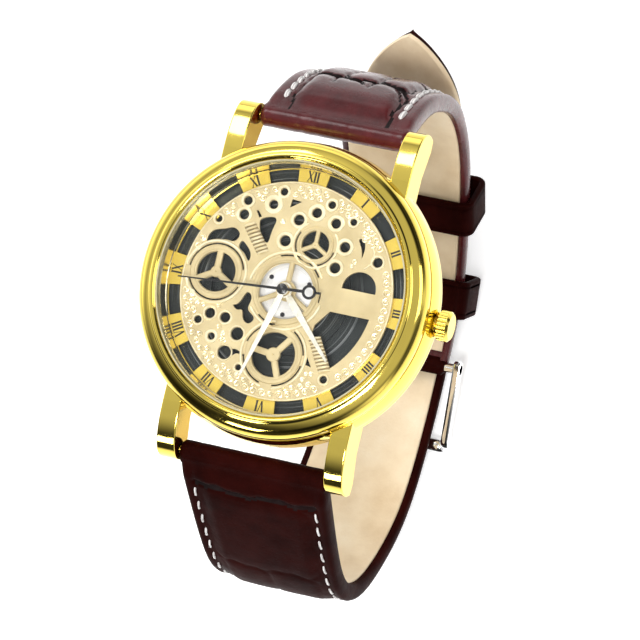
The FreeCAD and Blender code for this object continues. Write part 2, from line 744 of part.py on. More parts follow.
# ---- skeleton dial ------------------------------------------------------------------------
# Round jewel-like holes: (x, y, radius).
DIAL_HOLES = [
    (-7.90, 10.67, 0.58), (-3.33, 12.73, 0.50), (-4.35, 10.82, 0.60), (-7.99, 8.76, 0.65),
    (-11.26, 7.55, 0.45), (-0.46, 9.47, 0.70), (-1.65, 6.43, 0.72), (3.47, 12.24, 0.50),
    (1.71, 10.84, 0.65), (4.57, 9.95, 0.65), (6.87, 10.58, 0.45), (6.50, 7.15, 0.68),
    (5.82, 4.23, 0.70), (11.30, 6.03, 0.65), (-9.44, -4.84, 0.68), (-7.25, -5.00, 0.68),
    (-10.87, -5.99, 0.50), (-5.15, -6.78, 0.85), (-8.53, -7.79, 0.48), (-6.27, -9.53, 0.90),
    (-3.93, -11.07, 0.40), (7.76, -10.33, 0.50),
]
# False wheels pierced in the dial: centre, window radius, hub radius, first spoke, spoke width,
# then the dark slits that part the wheel's rim from the plate (radius, list of angle spans).
DIAL_WHEELS = [
    ((-9.95, 0.65), 2.65, 0.75, 90.0, 0.85, 3.72, [(14, 178), (202, 338)]),
    ((2.5, 6.65), 1.85, 0.45, 90.0, 0.55, 2.68, [(150, 260), (285, 350)]),
    ((0.35, -8.5), 2.95, 0.95, 53.0, 0.85, 4.05, [(100, 165), (190, 255), (280, 350), (10, 60)]),
    ((0.0, 0.0), 3.7, 1.35, 90.0, 0.65, 4.72, [(352, 368), (33, 68), (80, 112), (232, 262)]),
]
SLIT = 0.22


def dial_cutters():
    """Every opening of the dial as one list of prisms."""
    z0, z1 = DIAL_Z - 1, DIAL_Z + DIAL_T + 1
    cutters = [disc(r, z0, z1, (x, y)) for x, y, r in DIAL_HOLES]
    for centre, window_r, hub_r, first, spoke_w, slit_r, spans in DIAL_WHEELS:
        window = ring(window_r, hub_r, z0, z1, centre)
        spokes = []
        for i in range(3):
            tip = polar(window_r + 0.5, first + 120.0 * i, centre)
            spokes.append(bar_between(centre, tip, spoke_w, z0 - 1, z1 + 1))
        cutters.append(window.cut(spokes))
        for start, end in spans:
            cutters.append(arc_slot(slit_r, SLIT, start, end, z0, z1, centre))
    # straight-sided windows
    for corners in (
        [(-2.02, 12.0), (-0.62, 11.87), (-2.07, 10.84)],
        [(-6.5, 9.6), (-6.2, 9.7), (-5.55, 8.95), (-5.85, 8.75)],
        [(4.75, -7.6), (5.75, -9.1), (4.75, -8.9)],
    ):
        cutters.append(polygon(corners, z0, z1))
    # curved windows
    for outline in (
        [(-5.1, 8.9), (-3.5, 8.9), (-3.75, 7.2), (-4.05, 5.7), (-5.1, 6.5), (-5.6, 7.8)],
        [(-12.2, 4.7), (-11.3, 6.1), (-9.95, 6.5), (-9.0, 6.8), (-7.95, 6.0), (-8.4, 5.1),
         (-9.9, 5.0)],
        [(-7.3, 5.3), (-6.3, 4.5), (-5.8, 3.4), (-5.9, 2.9), (-6.8, 3.75), (-7.7, 4.7)],
        [(8.35, 8.65), (9.2, 7.3), (9.05, 6.15), (8.75, 7.3)],
        [(-6.5, -3.1), (-5.9, -2.75), (-4.9, -1.15), (-4.4, -1.6), (-4.4, -3.4), (-3.4, -4.4),
         (-3.9, -5.15), (-4.9, -4.6), (-5.3, -3.6), (-6.2, -3.6)],
        [(-5.6, -9.3), (-4.6, -8.85), (-3.5, -9.55), (-4.6, -9.35), (-5.5, -10.0)],
    ):
        cutters.append(smooth_outline(outline, z0, z1))
    cutters.append(half_moon(z0, z1))
    cutters.append(large_window(z0, z1))
    cutters.append(disc(HOUR_TUBE_R + 0.15, z0, z1))
    return cutters


def half_moon(z0, z1):
    """Window above the plain bar at 3: flat below, round above."""
    left, top, right = (Vector(7.35, 1.85, z0), Vector(9.7, 4.4, z0), Vector(11.95, 1.85, z0))
    edges = [Part.Arc(left, top, right).toShape(), Part.LineSegment(right, left).toShape()]
    return face_prism(Part.Wire(edges), z0, z1)


def large_window(z0, z1):
    """Big window below the plain bar at 3; its outer side follows the dial's border."""
    top_right = Vector(11.93, -1.46, z0)
    outer_mid = Vector(*polar(12.02, -30.0), z0)
    outer_end = Vector(*polar(12.02, -47.0), z0)
    inner = [Vector(x, y, z0) for x, y in ((6.3, -6.9), (4.7, -5.3), (4.9, -3.6), (6.5, -1.46))]
    edges = [Part.Arc(top_right, outer_mid, outer_end).toShape()]
    last = outer_end
    for point in inner + [top_right]:
        edges.append(Part.LineSegment(last, point).toShape())
        last = point
    return face_prism(Part.Wire(edges), z0, z1)


def skeleton_dial():
    return disc(DIAL_R, DIAL_Z, DIAL_Z + DIAL_T).cut(dial_cutters())


# ---- strap --------------------------------------------------------------------------------
# Centre lines of the two strap halves in the YZ plane, from the spring bar to the free end.
# The 12 o'clock half is the inner layer and ends at the buckle; the 6 o'clock half passes
# through the buckle, lies outside the other and leaves it in a straight tail.
STRAP_12_PATH = [
    (23.9, 0.6), (26.9, -3.2), (29.6, -7.8), (31.1, -13.0), (31.7, -19.6), (30.3, -26.3),
    (26.1, -33.7), (21.0, -38.8), (15.8, -43.4), (11.0, -46.3), (5.2, -47.6), (-0.2, -47.85),
]
STRAP_6_PATH = [
    (-23.9, 0.6), (-27.7, -5.4), (-32.3, -13.1), (-35.6, -21.3), (-34.9, -29.8), (-30.1, -38.3),
    (-22.8, -45.3), (-13.3, -48.9), (-4.5, -50.3), (4.5, -50.5), (12.6, -48.8), (19.0, -44.5),
    (24.6, -39.1), (32.7, -31.0), (41.3, -22.4),
]
STRAP_12_THICK = (3.2, 2.3)      # at the lug, at the buckle
STRAP_6_THICK = (3.2, 2.1)       # at the lug, at the tip
STRAP_12_WIDTH = (STRAP_WIDTH_LUG, 18.0)
STRAP_6_WIDTH = (STRAP_WIDTH_LUG, STRAP_WIDTH_TAIL)
THIN_BY = 0.45                   # fractions of the length where the thickness and the width
NARROW_BY = 0.8                  # have reached their end values
MARGIN_BLEND = (0.72, 0.90)
SECTIONS = 22
STRAP_12 = (STRAP_12_PATH, 1, STRAP_12_THICK, STRAP_12_WIDTH, LINING_MARGIN)
STRAP_6 = (STRAP_6_PATH, -1, STRAP_6_THICK, STRAP_6_WIDTH, LINING_MARGIN_TAIL)


def path_curve(points):
    curve = Part.BSplineCurve()
    curve.interpolate([Vector(0, y, z) for y, z in points])
    return curve


def path_frame(curve, fraction, side):
    """Point on the path and the unit normal that points out of the loop."""
    u = curve.FirstParameter + fraction * (curve.LastParameter - curve.FirstParameter)
    point = curve.value(u)
    tangent = curve.tangent(u)[0]
    normal = Vector(0, -tangent.z, tangent.y) * side
    return point, normal


def section_wire(point, normal, low, high, half_width):
    """Flat four-cornered section across the strap, between two heights along the normal."""
    corners = []
    for x, height in ((-half_width, low), (half_width, low), (half_width, high), (-half_width, high)):
        corners.append(point + normal * height + Vector(x, 0, 0))
    return Part.makePolygon(corners + corners[:1])


def blend(ends, fraction, start, stop):
    """Value that passes from the first of two to the second between two fractions."""
    share = min(1.0, max(0.0, (fraction - start) / (stop - start)))
    return ends[0] + (ends[1] - ends[0]) * share


def strap_loft(points, side, thick, width, below, depth, margins):
    """Band along a strap half, from a distance below the strap's inner face to a depth above
    it (None for the strap's outer face).  margins is how far its edges stay inside the
    strap's, before the buckle and at the tail."""
    curve = path_curve(points)
    wires = []
    for i in range(SECTIONS + 1):
        fraction = i / SECTIONS
        point, normal = path_frame(curve, fraction, side)
        half_thick = blend(thick, fraction, 0.0, THIN_BY) / 2
        half_width = blend(width, fraction, 0.0, NARROW_BY) / 2
        margin = blend(margins, fraction, *MARGIN_BLEND)
        high = half_thick if depth is None else depth - half_thick
        wires.append(section_wire(point, normal, -half_thick - below, high, half_width - margin))
    return Part.makeLoft(wires, True, False)


def strap_outer_layer(points, side, thick, width, tail_margin):
    """Outer leather, with a pocket in its inner face for the lining."""
    whole = strap_loft(points, side, thick, width, 0.0, None, (0.0, 0.0))
    margins = (LINING_MARGIN, tail_margin)
    return whole.cut(strap_loft(points, side, thick, width, 1.0, LINING_T, margins))


def strap_lining_layer(points, side, thick, width, tail_margin):
    """Lining that lies in the leather's pocket, a glue line clear of its walls."""
    margins = (LINING_MARGIN + GLUE_LINE, tail_margin + GLUE_LINE)
    return strap_loft(points, side, thick, width, 0.0, LINING_T - GLUE_LINE, margins)


def lug_roll(y_sign):
    """Leather rolled round the spring bar."""
    return rod_x(LUG_ROLL_R, -STRAP_WIDTH_LUG / 2, STRAP_WIDTH_LUG / 2, y_sign * BAR_Y, BAR_Z)


def bar_bore(y_sign, radius):
    return rod_x(radius, -12, 12, y_sign * BAR_Y, BAR_Z)


BUCKLE_AT = (-0.9, -47.9)        # centre of the buckle's bar, (y, z)
BUCKLE_BAR_R = 0.7
BUCKLE_ROLL_R = 1.25             # leather folded round the buckle's bar
BUCKLE_ROLL_HALF_X = 9.0
TONGUE_SLOT_Y = (-2.9, -0.2)
TONGUE_SLOT_HALF_X = 0.8


def strap_12_leather():
    end_roll = rod_x(BUCKLE_ROLL_R, -BUCKLE_ROLL_HALF_X, BUCKLE_ROLL_HALF_X, *BUCKLE_AT)
    tongue_notch = block(-1.0, 1.0, -6, 0.9, -52, -44)
    body = joined([strap_outer_layer(*STRAP_12), lug_roll(1), end_roll])
    buckle_bore = rod_x(BUCKLE_BAR_R + 0.05, -12, 12, *BUCKLE_AT)
    return body.cut([bar_bore(1, ROLL_BORE_R), buckle_bore, tongue_notch])


def strap_12_lining():
    end_roll = rod_x(BUCKLE_ROLL_R, -12, 12, *BUCKLE_AT)
    return strap_lining_layer(*STRAP_12).cut([lug_roll(1), end_roll])


TAIL_HOLES = 7
FIRST_HOLE = 0.575               # fraction of the 6 o'clock half's length
HOLE_PITCH = 0.04


def tail_holes():
    """Holes for the buckle's tongue, evenly spaced along the strap."""
    curve = path_curve(STRAP_6_PATH)
    holes = []
    for i in range(TAIL_HOLES):
        point, normal = path_frame(curve, FIRST_HOLE + HOLE_PITCH * i, 1)
        holes.append(Part.makeCylinder(0.7, 8, point - normal * 4, normal))
    return holes


def tongue_slot():
    """The hole in use, worn long by the tongue."""
    return block(-TONGUE_SLOT_HALF_X, TONGUE_SLOT_HALF_X, *TONGUE_SLOT_Y, -53, -45)


def pierced_tail(layer):
    """A layer of the 6 o'clock half with its holes cut and its end trimmed to a point."""
    return layer.cut(tail_holes() + [tongue_slot(), tail_point_cutter()])


TAIL_POINT = 13.0                # length over which the tail narrows to its tip


def tail_half_width(distance):
    """Half width of the tail at a distance back from its tip."""
    return STRAP_WIDTH_TAIL / 2 * math.sin(math.pi / 2 * (distance / TAIL_POINT) ** 0.75)


def tail_point_cutter():
    """Prism that trims the tail's end to a rounded point."""
    margin = 3.0
    outer = STRAP_WIDTH_TAIL / 2 + margin
    right = []
    for distance in (0.25, 0.9, 2.0, 3.6, 5.6, 8.0, 10.5, TAIL_POINT):
        right.append(Vector(tail_half_width(distance), -distance, 0))
    left = [Vector(-point.x, point.y, 0) for point in reversed(right)]
    curve = Part.BSplineCurve()
    curve.interpolate(left + [Vector(0, 0, 0)] + right)
    corners = [
        right[-1], Vector(outer, -TAIL_POINT, 0), Vector(outer, margin, 0),
        Vector(-outer, margin, 0), Vector(-outer, -TAIL_POINT, 0), left[0],
    ]
    outline = Part.Wire([curve.toShape()] + Part.makePolygon(corners).Edges)
    cutter = Part.Face(outline).extrude(Vector(0, 0, 12))
    cutter.translate(Vector(0, 0, -6))
    cutter.rotate(ORIGIN, X_AXIS, 45)
    end_y, end_z = STRAP_6_PATH[-1]
    cutter.translate(Vector(0, end_y, end_z))
    return cutter


def strap_6_leather():
    layer = pierced_tail(strap_outer_layer(*STRAP_6))
    return joined([layer, lug_roll(-1)]).cut(bar_bore(-1, ROLL_BORE_R))


def strap_6_lining():
    return pierced_tail(strap_lining_layer(*STRAP_6)).cut(lug_roll(-1))


def keeper(centre, angle, length, inner_width, inner_height, wall):
    """Leather loop round both strap layers: centre (y, z), angle of the strap there."""
    half_w, half_h = inner_width / 2, inner_height / 2
    outer = block(-half_w - wall, half_w + wall, -length / 2, length / 2, -half_h - wall, half_h + wall)
    long_edges = [edge for edge in outer.Edges if edge.BoundBox.YLength > length - 0.01]
    outer = outer.makeFillet(0.9, long_edges)
    hollow = block(-half_w, half_w, -length, length, -half_h, half_h)
    loop = outer.cut(hollow)
    loop.rotate(ORIGIN, X_AXIS, angle)
    loop.translate(Vector(0, centre[0], centre[1]))
    return loop


KEEPER_WALL = 0.9
KEEPER_LENGTH = 5.5


def fixed_keeper():
    return keeper((9.4, -48.15), 16.0, KEEPER_LENGTH, 18.8, 6.2, KEEPER_WALL)


def sliding_keeper():
    return keeper((21.4, -40.3), 45.0, KEEPER_LENGTH, 18.9, 5.9, KEEPER_WALL)


# ---- spring bars and buckle ---------------------------------------------------------------
BAR_TUBE_X = 9.0
PIN_INNER_X = 7.0
PIN_SHOULDER_X = (10.0, 10.25)
PIN_SHOULDER_R = 0.62
PIN_TIP_X = 11.3


def spring_bar(y_sign):
    tube = rod_x(BAR_TUBE_R, -BAR_TUBE_X, BAR_TUBE_X, y_sign * BAR_Y, BAR_Z)
    return tube.cut(bar_bore(y_sign, BAR_HOLE_R))


def spring_bar_pin(x_sign, y_sign):
    """Sprung end of a spring bar: shank in the tube, shoulder outside, tip in the lug."""
    y, z = y_sign * BAR_Y, BAR_Z
    solids = [
        rod_x(BAR_PIN_R, PIN_INNER_X, PIN_TIP_X, y, z),
        rod_x(PIN_SHOULDER_R, *PIN_SHOULDER_X, y, z),
    ]
    body = joined(solids)
    if x_sign < 0:
        body = body.mirror(ORIGIN, X_AXIS)
    return body


BUCKLE_ANGLE = 12.0              # the frame leans away from the wrist towards its front bar
FRAME_REACH = 11.5
FRAME_HALF_X = 11.0


def in_buckle(shape):
    """From the buckle's own frame (bar at the origin, reach along -Y) to its place."""
    shape.rotate(ORIGIN, X_AXIS, BUCKLE_ANGLE)
    shape.translate(Vector(0, *BUCKLE_AT))
    return shape


def buckle_frame():
    """Two side arms and a front bar, all of one bent bar stock."""
    arms = []
    for x in (FRAME_HALF_X, -FRAME_HALF_X):
        x0 = x - 1.0 if x > 0 else x
        arms.append(block(x0, x0 + 1.0, -FRAME_REACH, 1.2, -1.0, 1.0))
    front = rod_x(1.15, -FRAME_HALF_X, FRAME_HALF_X, -FRAME_REACH, -1.2)
    body = joined(arms + [front])
    body = body.cut(rod_x(BUCKLE_BAR_R + 0.05, -15, 15, 0, 0))
    return in_buckle(body)


def buckle_bar():
    return rod_x(BUCKLE_BAR_R, -FRAME_HALF_X, FRAME_HALF_X, *BUCKLE_AT)


def buckle_tongue():
    """Pin that turns on the bar, passes through the strap and lies on the front bar."""
    loop = rod_x(1.15, -0.6, 0.6, 0, 0)
    end_y = -FRAME_REACH - 1.3
    side = [
        (-1.0, -0.5), (-1.4, -2.6), (-2.0, -3.25), (-4.5, -2.95), (end_y, -2.42),
        (end_y, -3.1), (-4.5, -3.75), (-1.9, -4.05), (-0.7, -3.3), (-0.2, -1.0),
    ]
    corners = [Vector(-0.55, y, z) for y, z in side]
    blade = Part.Face(Part.makePolygon(corners + corners[:1])).extrude(Vector(1.1, 0, 0))
    body = joined([loop, blade]).cut(rod_x(BUCKLE_BAR_R + 0.05, -5, 5, 0, 0))
    return in_buckle(body)


# ---- all nodes ----------------------------------------------------------------------------
NODES = {
    "mid_case": mid_case(),
    "bezel": bezel(),
    "crystal": crystal(),
    "crystal_gasket": crystal_gasket(),
    "flange_ring": flange_ring(),
    "hour_ring": hour_ring(),
    "skeleton_dial": skeleton_dial(),
    "movement_ring": movement_ring(),
    "main_plate": main_plate(),
    "motion_cover": motion_cover(),
    "motion_cover_screws": motion_cover_screws(),
    "train_bridge": train_bridge(),
    "bridge_screws": bridge_screws(),
    "battery": battery(),
    "battery_clamp": battery_clamp(),
    "circuit_board": circuit_board(),
    "quartz_crystal": quartz_crystal(),
    "drive_coil": drive_coil(),
    "stator": stator(),
    "case_back": case_back(),
    "case_back_gasket": case_back_gasket(),
    "crown_tube": crown_tube(),
    "crown_gasket": crown_gasket(),
    "crown": crown(),
    "stem": stem(),
    "sliding_pinion": sliding_pinion(),
    "setting_lever": setting_lever(),
    "yoke": yoke(),
    "rotor": rotor(),
    "intermediate_wheel": intermediate_wheel(),
    "seconds_wheel": seconds_wheel(),
    "third_wheel": third_wheel(),
    "centre_wheel": centre_wheel(),
    "cannon_pinion": cannon_pinion(),
    "minute_wheel": minute_wheel(),
    "hour_wheel": hour_wheel(),
    "setting_wheel": setting_wheel(),
    "hour_hand": hour_hand(),
    "minute_hand": minute_hand(),
    "second_hand": second_hand(),
    "strap_12_leather": strap_12_leather(),
    "strap_12_lining": strap_12_lining(),
    "strap_6_leather": strap_6_leather(),
    "strap_6_lining": strap_6_lining(),
    "fixed_keeper": fixed_keeper(),
    "sliding_keeper": sliding_keeper(),
    "spring_bar_12": spring_bar(1),
    "spring_bar_6": spring_bar(-1),
    "buckle_frame": buckle_frame(),
    "buckle_bar": buckle_bar(),
    "buckle_tongue": buckle_tongue(),
}
for bar_name, y_sign in (("12", 1), ("6", -1)):
    for side_name, x_sign in (("right", 1), ("left", -1)):
        NODES["spring_bar_" + bar_name + "_pin_" + side_name] = spring_bar_pin(x_sign, y_sign)

os.makedirs("parts", exist_ok=True)
for node, shape in NODES.items():
    valid = shape.isValid()
    solids = len(shape.Solids)
    print(node, "solids", solids, "volume", round(shape.Volume, 3), "valid", valid)
    shape.exportStep("parts/" + node + ".step")
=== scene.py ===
import json
import math
import random

import bmesh
import bpy
import numpy as np
from mathutils import Matrix, Vector


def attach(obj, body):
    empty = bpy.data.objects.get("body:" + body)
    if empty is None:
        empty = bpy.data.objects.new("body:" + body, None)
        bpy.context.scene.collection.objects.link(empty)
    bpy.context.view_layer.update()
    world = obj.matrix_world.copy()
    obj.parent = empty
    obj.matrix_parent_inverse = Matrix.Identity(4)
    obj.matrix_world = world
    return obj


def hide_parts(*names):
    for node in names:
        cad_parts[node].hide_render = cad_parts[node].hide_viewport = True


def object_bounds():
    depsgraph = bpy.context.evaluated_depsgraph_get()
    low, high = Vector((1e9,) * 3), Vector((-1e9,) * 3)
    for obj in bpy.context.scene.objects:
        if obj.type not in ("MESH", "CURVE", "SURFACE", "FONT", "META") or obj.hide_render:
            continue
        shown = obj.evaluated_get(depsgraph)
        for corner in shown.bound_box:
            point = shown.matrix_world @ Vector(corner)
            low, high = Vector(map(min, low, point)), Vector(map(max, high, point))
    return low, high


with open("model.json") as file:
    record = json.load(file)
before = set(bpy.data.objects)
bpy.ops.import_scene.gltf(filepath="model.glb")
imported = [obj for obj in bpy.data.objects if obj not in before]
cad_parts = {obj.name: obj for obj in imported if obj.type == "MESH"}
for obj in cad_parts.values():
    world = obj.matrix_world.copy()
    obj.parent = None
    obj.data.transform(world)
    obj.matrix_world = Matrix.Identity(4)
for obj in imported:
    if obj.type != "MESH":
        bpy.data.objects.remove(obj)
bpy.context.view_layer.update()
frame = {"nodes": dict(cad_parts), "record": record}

MM = 0.001
ROOT = "watch_head_and_strap"
NODES = frame["nodes"]


# ---- camera -------------------------------------------------------------------------------
# A long lens from in front, a little to the right of 3 o'clock and nearly along the dial's
# axis.  Columns of the camera's rotation: its right, its up, and back towards the viewer.
CAMERA_AT = (0.159016, -0.047284, 0.499978)
CAMERA_RIGHT = (0.935025, 0.230201, -0.269696)
CAMERA_UP = (-0.195949, 0.969371, 0.148067)
CAMERA_BACK = (0.295521, -0.085600, 0.951494)
CAMERA_LENS = 225.0
SENSOR = 36.0


def add_camera():
    data = bpy.data.cameras.new("camera")
    data.lens = CAMERA_LENS
    data.sensor_width = SENSOR
    data.clip_start = 0.01
    data.clip_end = 20.0
    camera = bpy.data.objects.new("camera", data)
    rotation = Matrix((CAMERA_RIGHT, CAMERA_UP, CAMERA_BACK)).transposed().to_4x4()
    camera.matrix_world = Matrix.Translation(CAMERA_AT) @ rotation
    bpy.context.scene.collection.objects.link(camera)
    bpy.context.scene.camera = camera


# ---- mesh helpers -------------------------------------------------------------------------
def new_object(name, verts, faces, material, body=ROOT, weld=True):
    mesh = bpy.data.meshes.new(name)
    mesh.from_pydata([tuple(v) for v in verts], [], faces)
    mesh.update()
    obj = bpy.data.objects.new(name, mesh)
    bpy.context.scene.collection.objects.link(obj)
    fix = bmesh.new()
    fix.from_mesh(mesh)
    if weld:
        bmesh.ops.remove_doubles(fix, verts=fix.verts, dist=1e-7)
    bmesh.ops.recalc_face_normals(fix, faces=fix.faces)
    fix.to_mesh(mesh)
    fix.free()
    mesh.shade_smooth()
    mesh.materials.append(material)
    if body is not None:
        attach(obj, body)
    return obj


def auto_smooth(obj, degrees=35.0):
    """Smooth shading that keeps edges sharper than an angle crisp."""
    obj.data.shade_smooth()
    mesh = bmesh.new()
    mesh.from_mesh(obj.data)
    limit = math.radians(degrees)
    for edge in mesh.edges:
        if len(edge.link_faces) != 2 or edge.calc_face_angle(0.0) > limit:
            edge.smooth = False
    mesh.to_mesh(obj.data)
    mesh.free()
    return obj


def boxes_of(solids):
    """One vertex list and face list from several (verts, faces) solids."""
    verts, faces = [], []
    for solid_verts, solid_faces in solids:
        base = len(verts)
        verts.extend(solid_verts)
        faces.extend([tuple(i + base for i in face) for face in solid_faces])
    return verts, faces


def skin_faces(rings, size):
    """Quads between each closed ring of vertices and the next."""
    faces = []
    for i in range(rings - 1):
        for k in range(size):
            m = (k + 1) % size
            faces.append((i * size + k, i * size + m, (i + 1) * size + m, (i + 1) * size + k))
    return faces


def cap_faces(rings, size):
    """Faces that close the first and the last ring of such a skin."""
    last = (rings - 1) * size
    return [tuple(reversed(range(size))), tuple(last + k for k in range(size))]


def hoop_faces(rings, size):
    """Quads of a closed hoop, whose last ring joins the first."""
    faces = []
    for i in range(rings):
        j = (i + 1) % rings
        for k in range(size):
            m = (k + 1) % size
            faces.append((i * size + k, j * size + k, j * size + m, i * size + m))
    return faces


def prism(outline, z0, z1, bevel=0.0):
    """Prism over a flat outline of (x, y) points, with an optional bevel at its top."""
    n = len(outline)
    verts = [(x, y, z0) for x, y in outline]
    levels = [(z1, 0.0)] if bevel <= 0 else [(z1 - bevel, 0.0), (z1, bevel)]
    middle_x = sum(p[0] for p in outline) / n
    middle_y = sum(p[1] for p in outline) / n
    for z, inset in levels:
        for x, y in outline:
            dx, dy = x - middle_x, y - middle_y
            length = math.hypot(dx, dy) or 1.0
            k = 1.0 - min(0.5, inset / length)
            verts.append((middle_x + dx * k, middle_y + dy * k, z))
    rings = len(levels) + 1
    return verts, skin_faces(rings, n) + cap_faces(rings, n)


def lathe(profile, segments=180, centre=(0.0, 0.0)):
    """Closed ring turned about a vertical axis from a closed (radius, z) profile."""
    verts = []
    for i in range(segments):
        a = 2 * math.pi * i / segments
        for r, z in profile:
            verts.append((centre[0] + r * math.cos(a), centre[1] + r * math.sin(a), z))
    return verts, hoop_faces(segments, len(profile))


def arc_points(centre, radius, start, end, steps):
    """Points (r, z) round an arc in degrees."""
    points = []
    for i in range(steps + 1):
        a = math.radians(start + (end - start) * i / steps)
        points.append((centre[0] + radius * math.cos(a), centre[1] + radius * math.sin(a)))
    return points


def polar(radius, degrees, centre=(0.0, 0.0)):
    a = math.radians(degrees)
    return (centre[0] + radius * math.cos(a), centre[1] + radius * math.sin(a))


def scaled(solid):
    """The same solid in metres."""
    verts, faces = solid
    return [(x * MM, y * MM, z * MM) for x, y, z in verts], faces


def tube_along(points, radius, sides=6, flatten=1.0):
    """Round wire along a list of points (mm), closed at both ends."""
    verts = []
    n = len(points)
    for i, p in enumerate(points):
        a, b = points[max(0, i - 1)], points[min(n - 1, i + 1)]
        tangent = (Vector(b) - Vector(a)).normalized()
        up = Vector((0, 0, 1)) if abs(tangent.z) < 0.9 else Vector((1, 0, 0))
        side = tangent.cross(up).normalized()
        up = side.cross(tangent)
        taper = 0.35 if i in (0, n - 1) else 1.0
        for k in range(sides):
            angle = 2 * math.pi * k / sides
            offset = side * math.cos(angle) + up * math.sin(angle) * flatten
            verts.append(tuple(Vector(p) + offset * radius * taper))
    return verts, skin_faces(n, sides) + cap_faces(n, sides)


def merged_piece(name, solids, material, body=ROOT, smooth_angle=35.0):
    """Piece built from many small solids given in millimetres."""
    verts, faces = scaled(boxes_of(solids))
    obj = new_object(name, verts, faces, material, body, weld=False)
    auto_smooth(obj, smooth_angle)
    return obj


# ---- materials ----------------------------------------------------------------------------
class Nodes:
    """Short way to build a material's node tree."""

    def __init__(self, name):
        self.material = bpy.data.materials.new(name)
        self.material.use_nodes = True
        self.tree = self.material.node_tree
        self.shader = self.tree.nodes["Principled BSDF"]
        self.coords = self.tree.nodes.new("ShaderNodeTexCoord")

    def add(self, kind, **inputs):
        node = self.tree.nodes.new(kind)
        for name, value in inputs.items():
            self.put(node.inputs[name.replace("_", " ")], value)
        return node

    def put(self, socket, value):
        if isinstance(value, bpy.types.NodeSocket):
            self.tree.links.new(value, socket)
        else:
            socket.default_value = value

    def set(self, **inputs):
        for name, value in inputs.items():
            self.put(self.shader.inputs[name.replace("_", " ")], value)

    def where(self):
        return self.coords.outputs["Object"]

    def noise(self, scale, detail=3.0, rough=0.5, vector=None):
        node = self.add("ShaderNodeTexNoise", Scale=scale, Detail=detail, Roughness=rough)
        self.put(node.inputs["Vector"], vector or self.where())
        return node.outputs["Fac"]

    def ramp(self, fac, stops):
        node = self.add("ShaderNodeValToRGB", Fac=fac)
        ramp = node.color_ramp
        while len(ramp.elements) < len(stops):
            ramp.elements.new(0.5)
        for element, (place, colour) in zip(ramp.elements, stops):
            element.position = place
            element.color = (*colour, 1.0)
        return node.outputs["Color"]

    def grey(self, fac, low, high, start=0.0, end=1.0):
        node = self.add("ShaderNodeMapRange", Value=fac)
        node.inputs["From Min"].default_value = start
        node.inputs["From Max"].default_value = end
        node.inputs["To Min"].default_value = low
        node.inputs["To Max"].default_value = high
        return node.outputs["Result"]

    def bump(self, height, strength, distance, normal=None):
        node = self.add("ShaderNodeBump", Height=height, Strength=strength, Distance=distance)
        if normal is not None:
            self.put(node.inputs["Normal"], normal)
        return node.outputs["Normal"]

    def stretched(self, scale):
        node = self.add("ShaderNodeMapping")
        node.inputs["Scale"].default_value = scale
        self.put(node.inputs["Vector"], self.where())
        return node.outputs["Vector"]

    def radius(self):
        """Distance from the watch's axis, in metres."""
        split = self.add("ShaderNodeSeparateXYZ")
        self.put(split.inputs[0], self.where())
        flat = self.add("ShaderNodeCombineXYZ")
        self.put(flat.inputs[0], split.outputs[0])
        self.put(flat.inputs[1], split.outputs[1])
        length = self.tree.nodes.new("ShaderNodeVectorMath")
        length.operation = "LENGTH"
        self.put(length.inputs[0], flat.outputs[0])
        return length.outputs["Value"]

    def rings(self, scale):
        """Noise that depends only on the distance from the axis: fine turned lines."""
        vector = self.add("ShaderNodeCombineXYZ")
        self.put(vector.inputs[0], self.radius())
        return self.noise(scale, 4.0, 0.6, vector.outputs[0])

    def combine(self, operation, a, b):
        node = self.add("ShaderNodeMath")
        node.operation = operation
        self.put(node.inputs[0], a)
        self.put(node.inputs[1], b)
        return node.outputs[0]


def metal(name, colour, rough, variation=0.05, brushed=None, tint=0.10, metallic=1.0):
    """Metal with faint smudges in its gloss and hairline marks."""
    m = Nodes(name)
    smudge = m.noise(130.0, 4.0)
    darker = tuple(c * (1.0 - tint) for c in colour)
    m.set(Base_Color=m.ramp(smudge, [(0.3, darker), (0.7, colour)]), Metallic=metallic)
    if brushed == "rings":
        lines = m.rings(9000.0)
        m.set(Roughness=m.grey(lines, rough, rough + variation, 0.3, 0.7))
        m.set(Normal=m.bump(lines, 0.25, 0.00002))
    elif brushed is not None:
        lines = m.noise(2600.0, 3.0, 0.6, m.stretched(brushed))
        m.set(Roughness=m.grey(lines, rough, rough + variation, 0.3, 0.7))
        m.set(Normal=m.bump(lines, 0.2, 0.00002))
    else:
        marks = m.noise(900.0, 5.0, 0.6)
        m.set(Roughness=m.grey(marks, rough, rough + variation, 0.35, 0.75))
        m.set(Normal=m.bump(marks, 0.06, 0.00002))
    return m.material


def frosted_dial():
    """Champagne plating over a fine sand-blasted ground."""
    m = Nodes("dial_champagne")
    cloud = m.noise(220.0, 3.0)
    m.set(Base_Color=m.ramp(cloud, [(0.3, (0.56, 0.45, 0.24)), (0.7, (0.72, 0.60, 0.34))]))
    grain = m.noise(9000.0, 3.0, 0.7)
    m.set(Metallic=0.7, Roughness=m.grey(grain, 0.34, 0.5, 0.3, 0.7))
    m.set(Normal=m.bump(grain, 0.5, 0.00004))
    return m.material


def relief_gold():
    # A lighter copy of the champagne dial gold, so that the raised pieces read bright: painted
    # highlight.
    m = Nodes("dial_relief_highlit")
    cloud = m.noise(600.0, 3.0)
    m.set(Base_Color=m.ramp(cloud, [(0.3, (0.88, 0.75, 0.46)), (0.7, (1.0, 0.92, 0.66))]))
    m.set(Metallic=0.7, Roughness=m.grey(cloud, 0.30, 0.42))
    return m.material


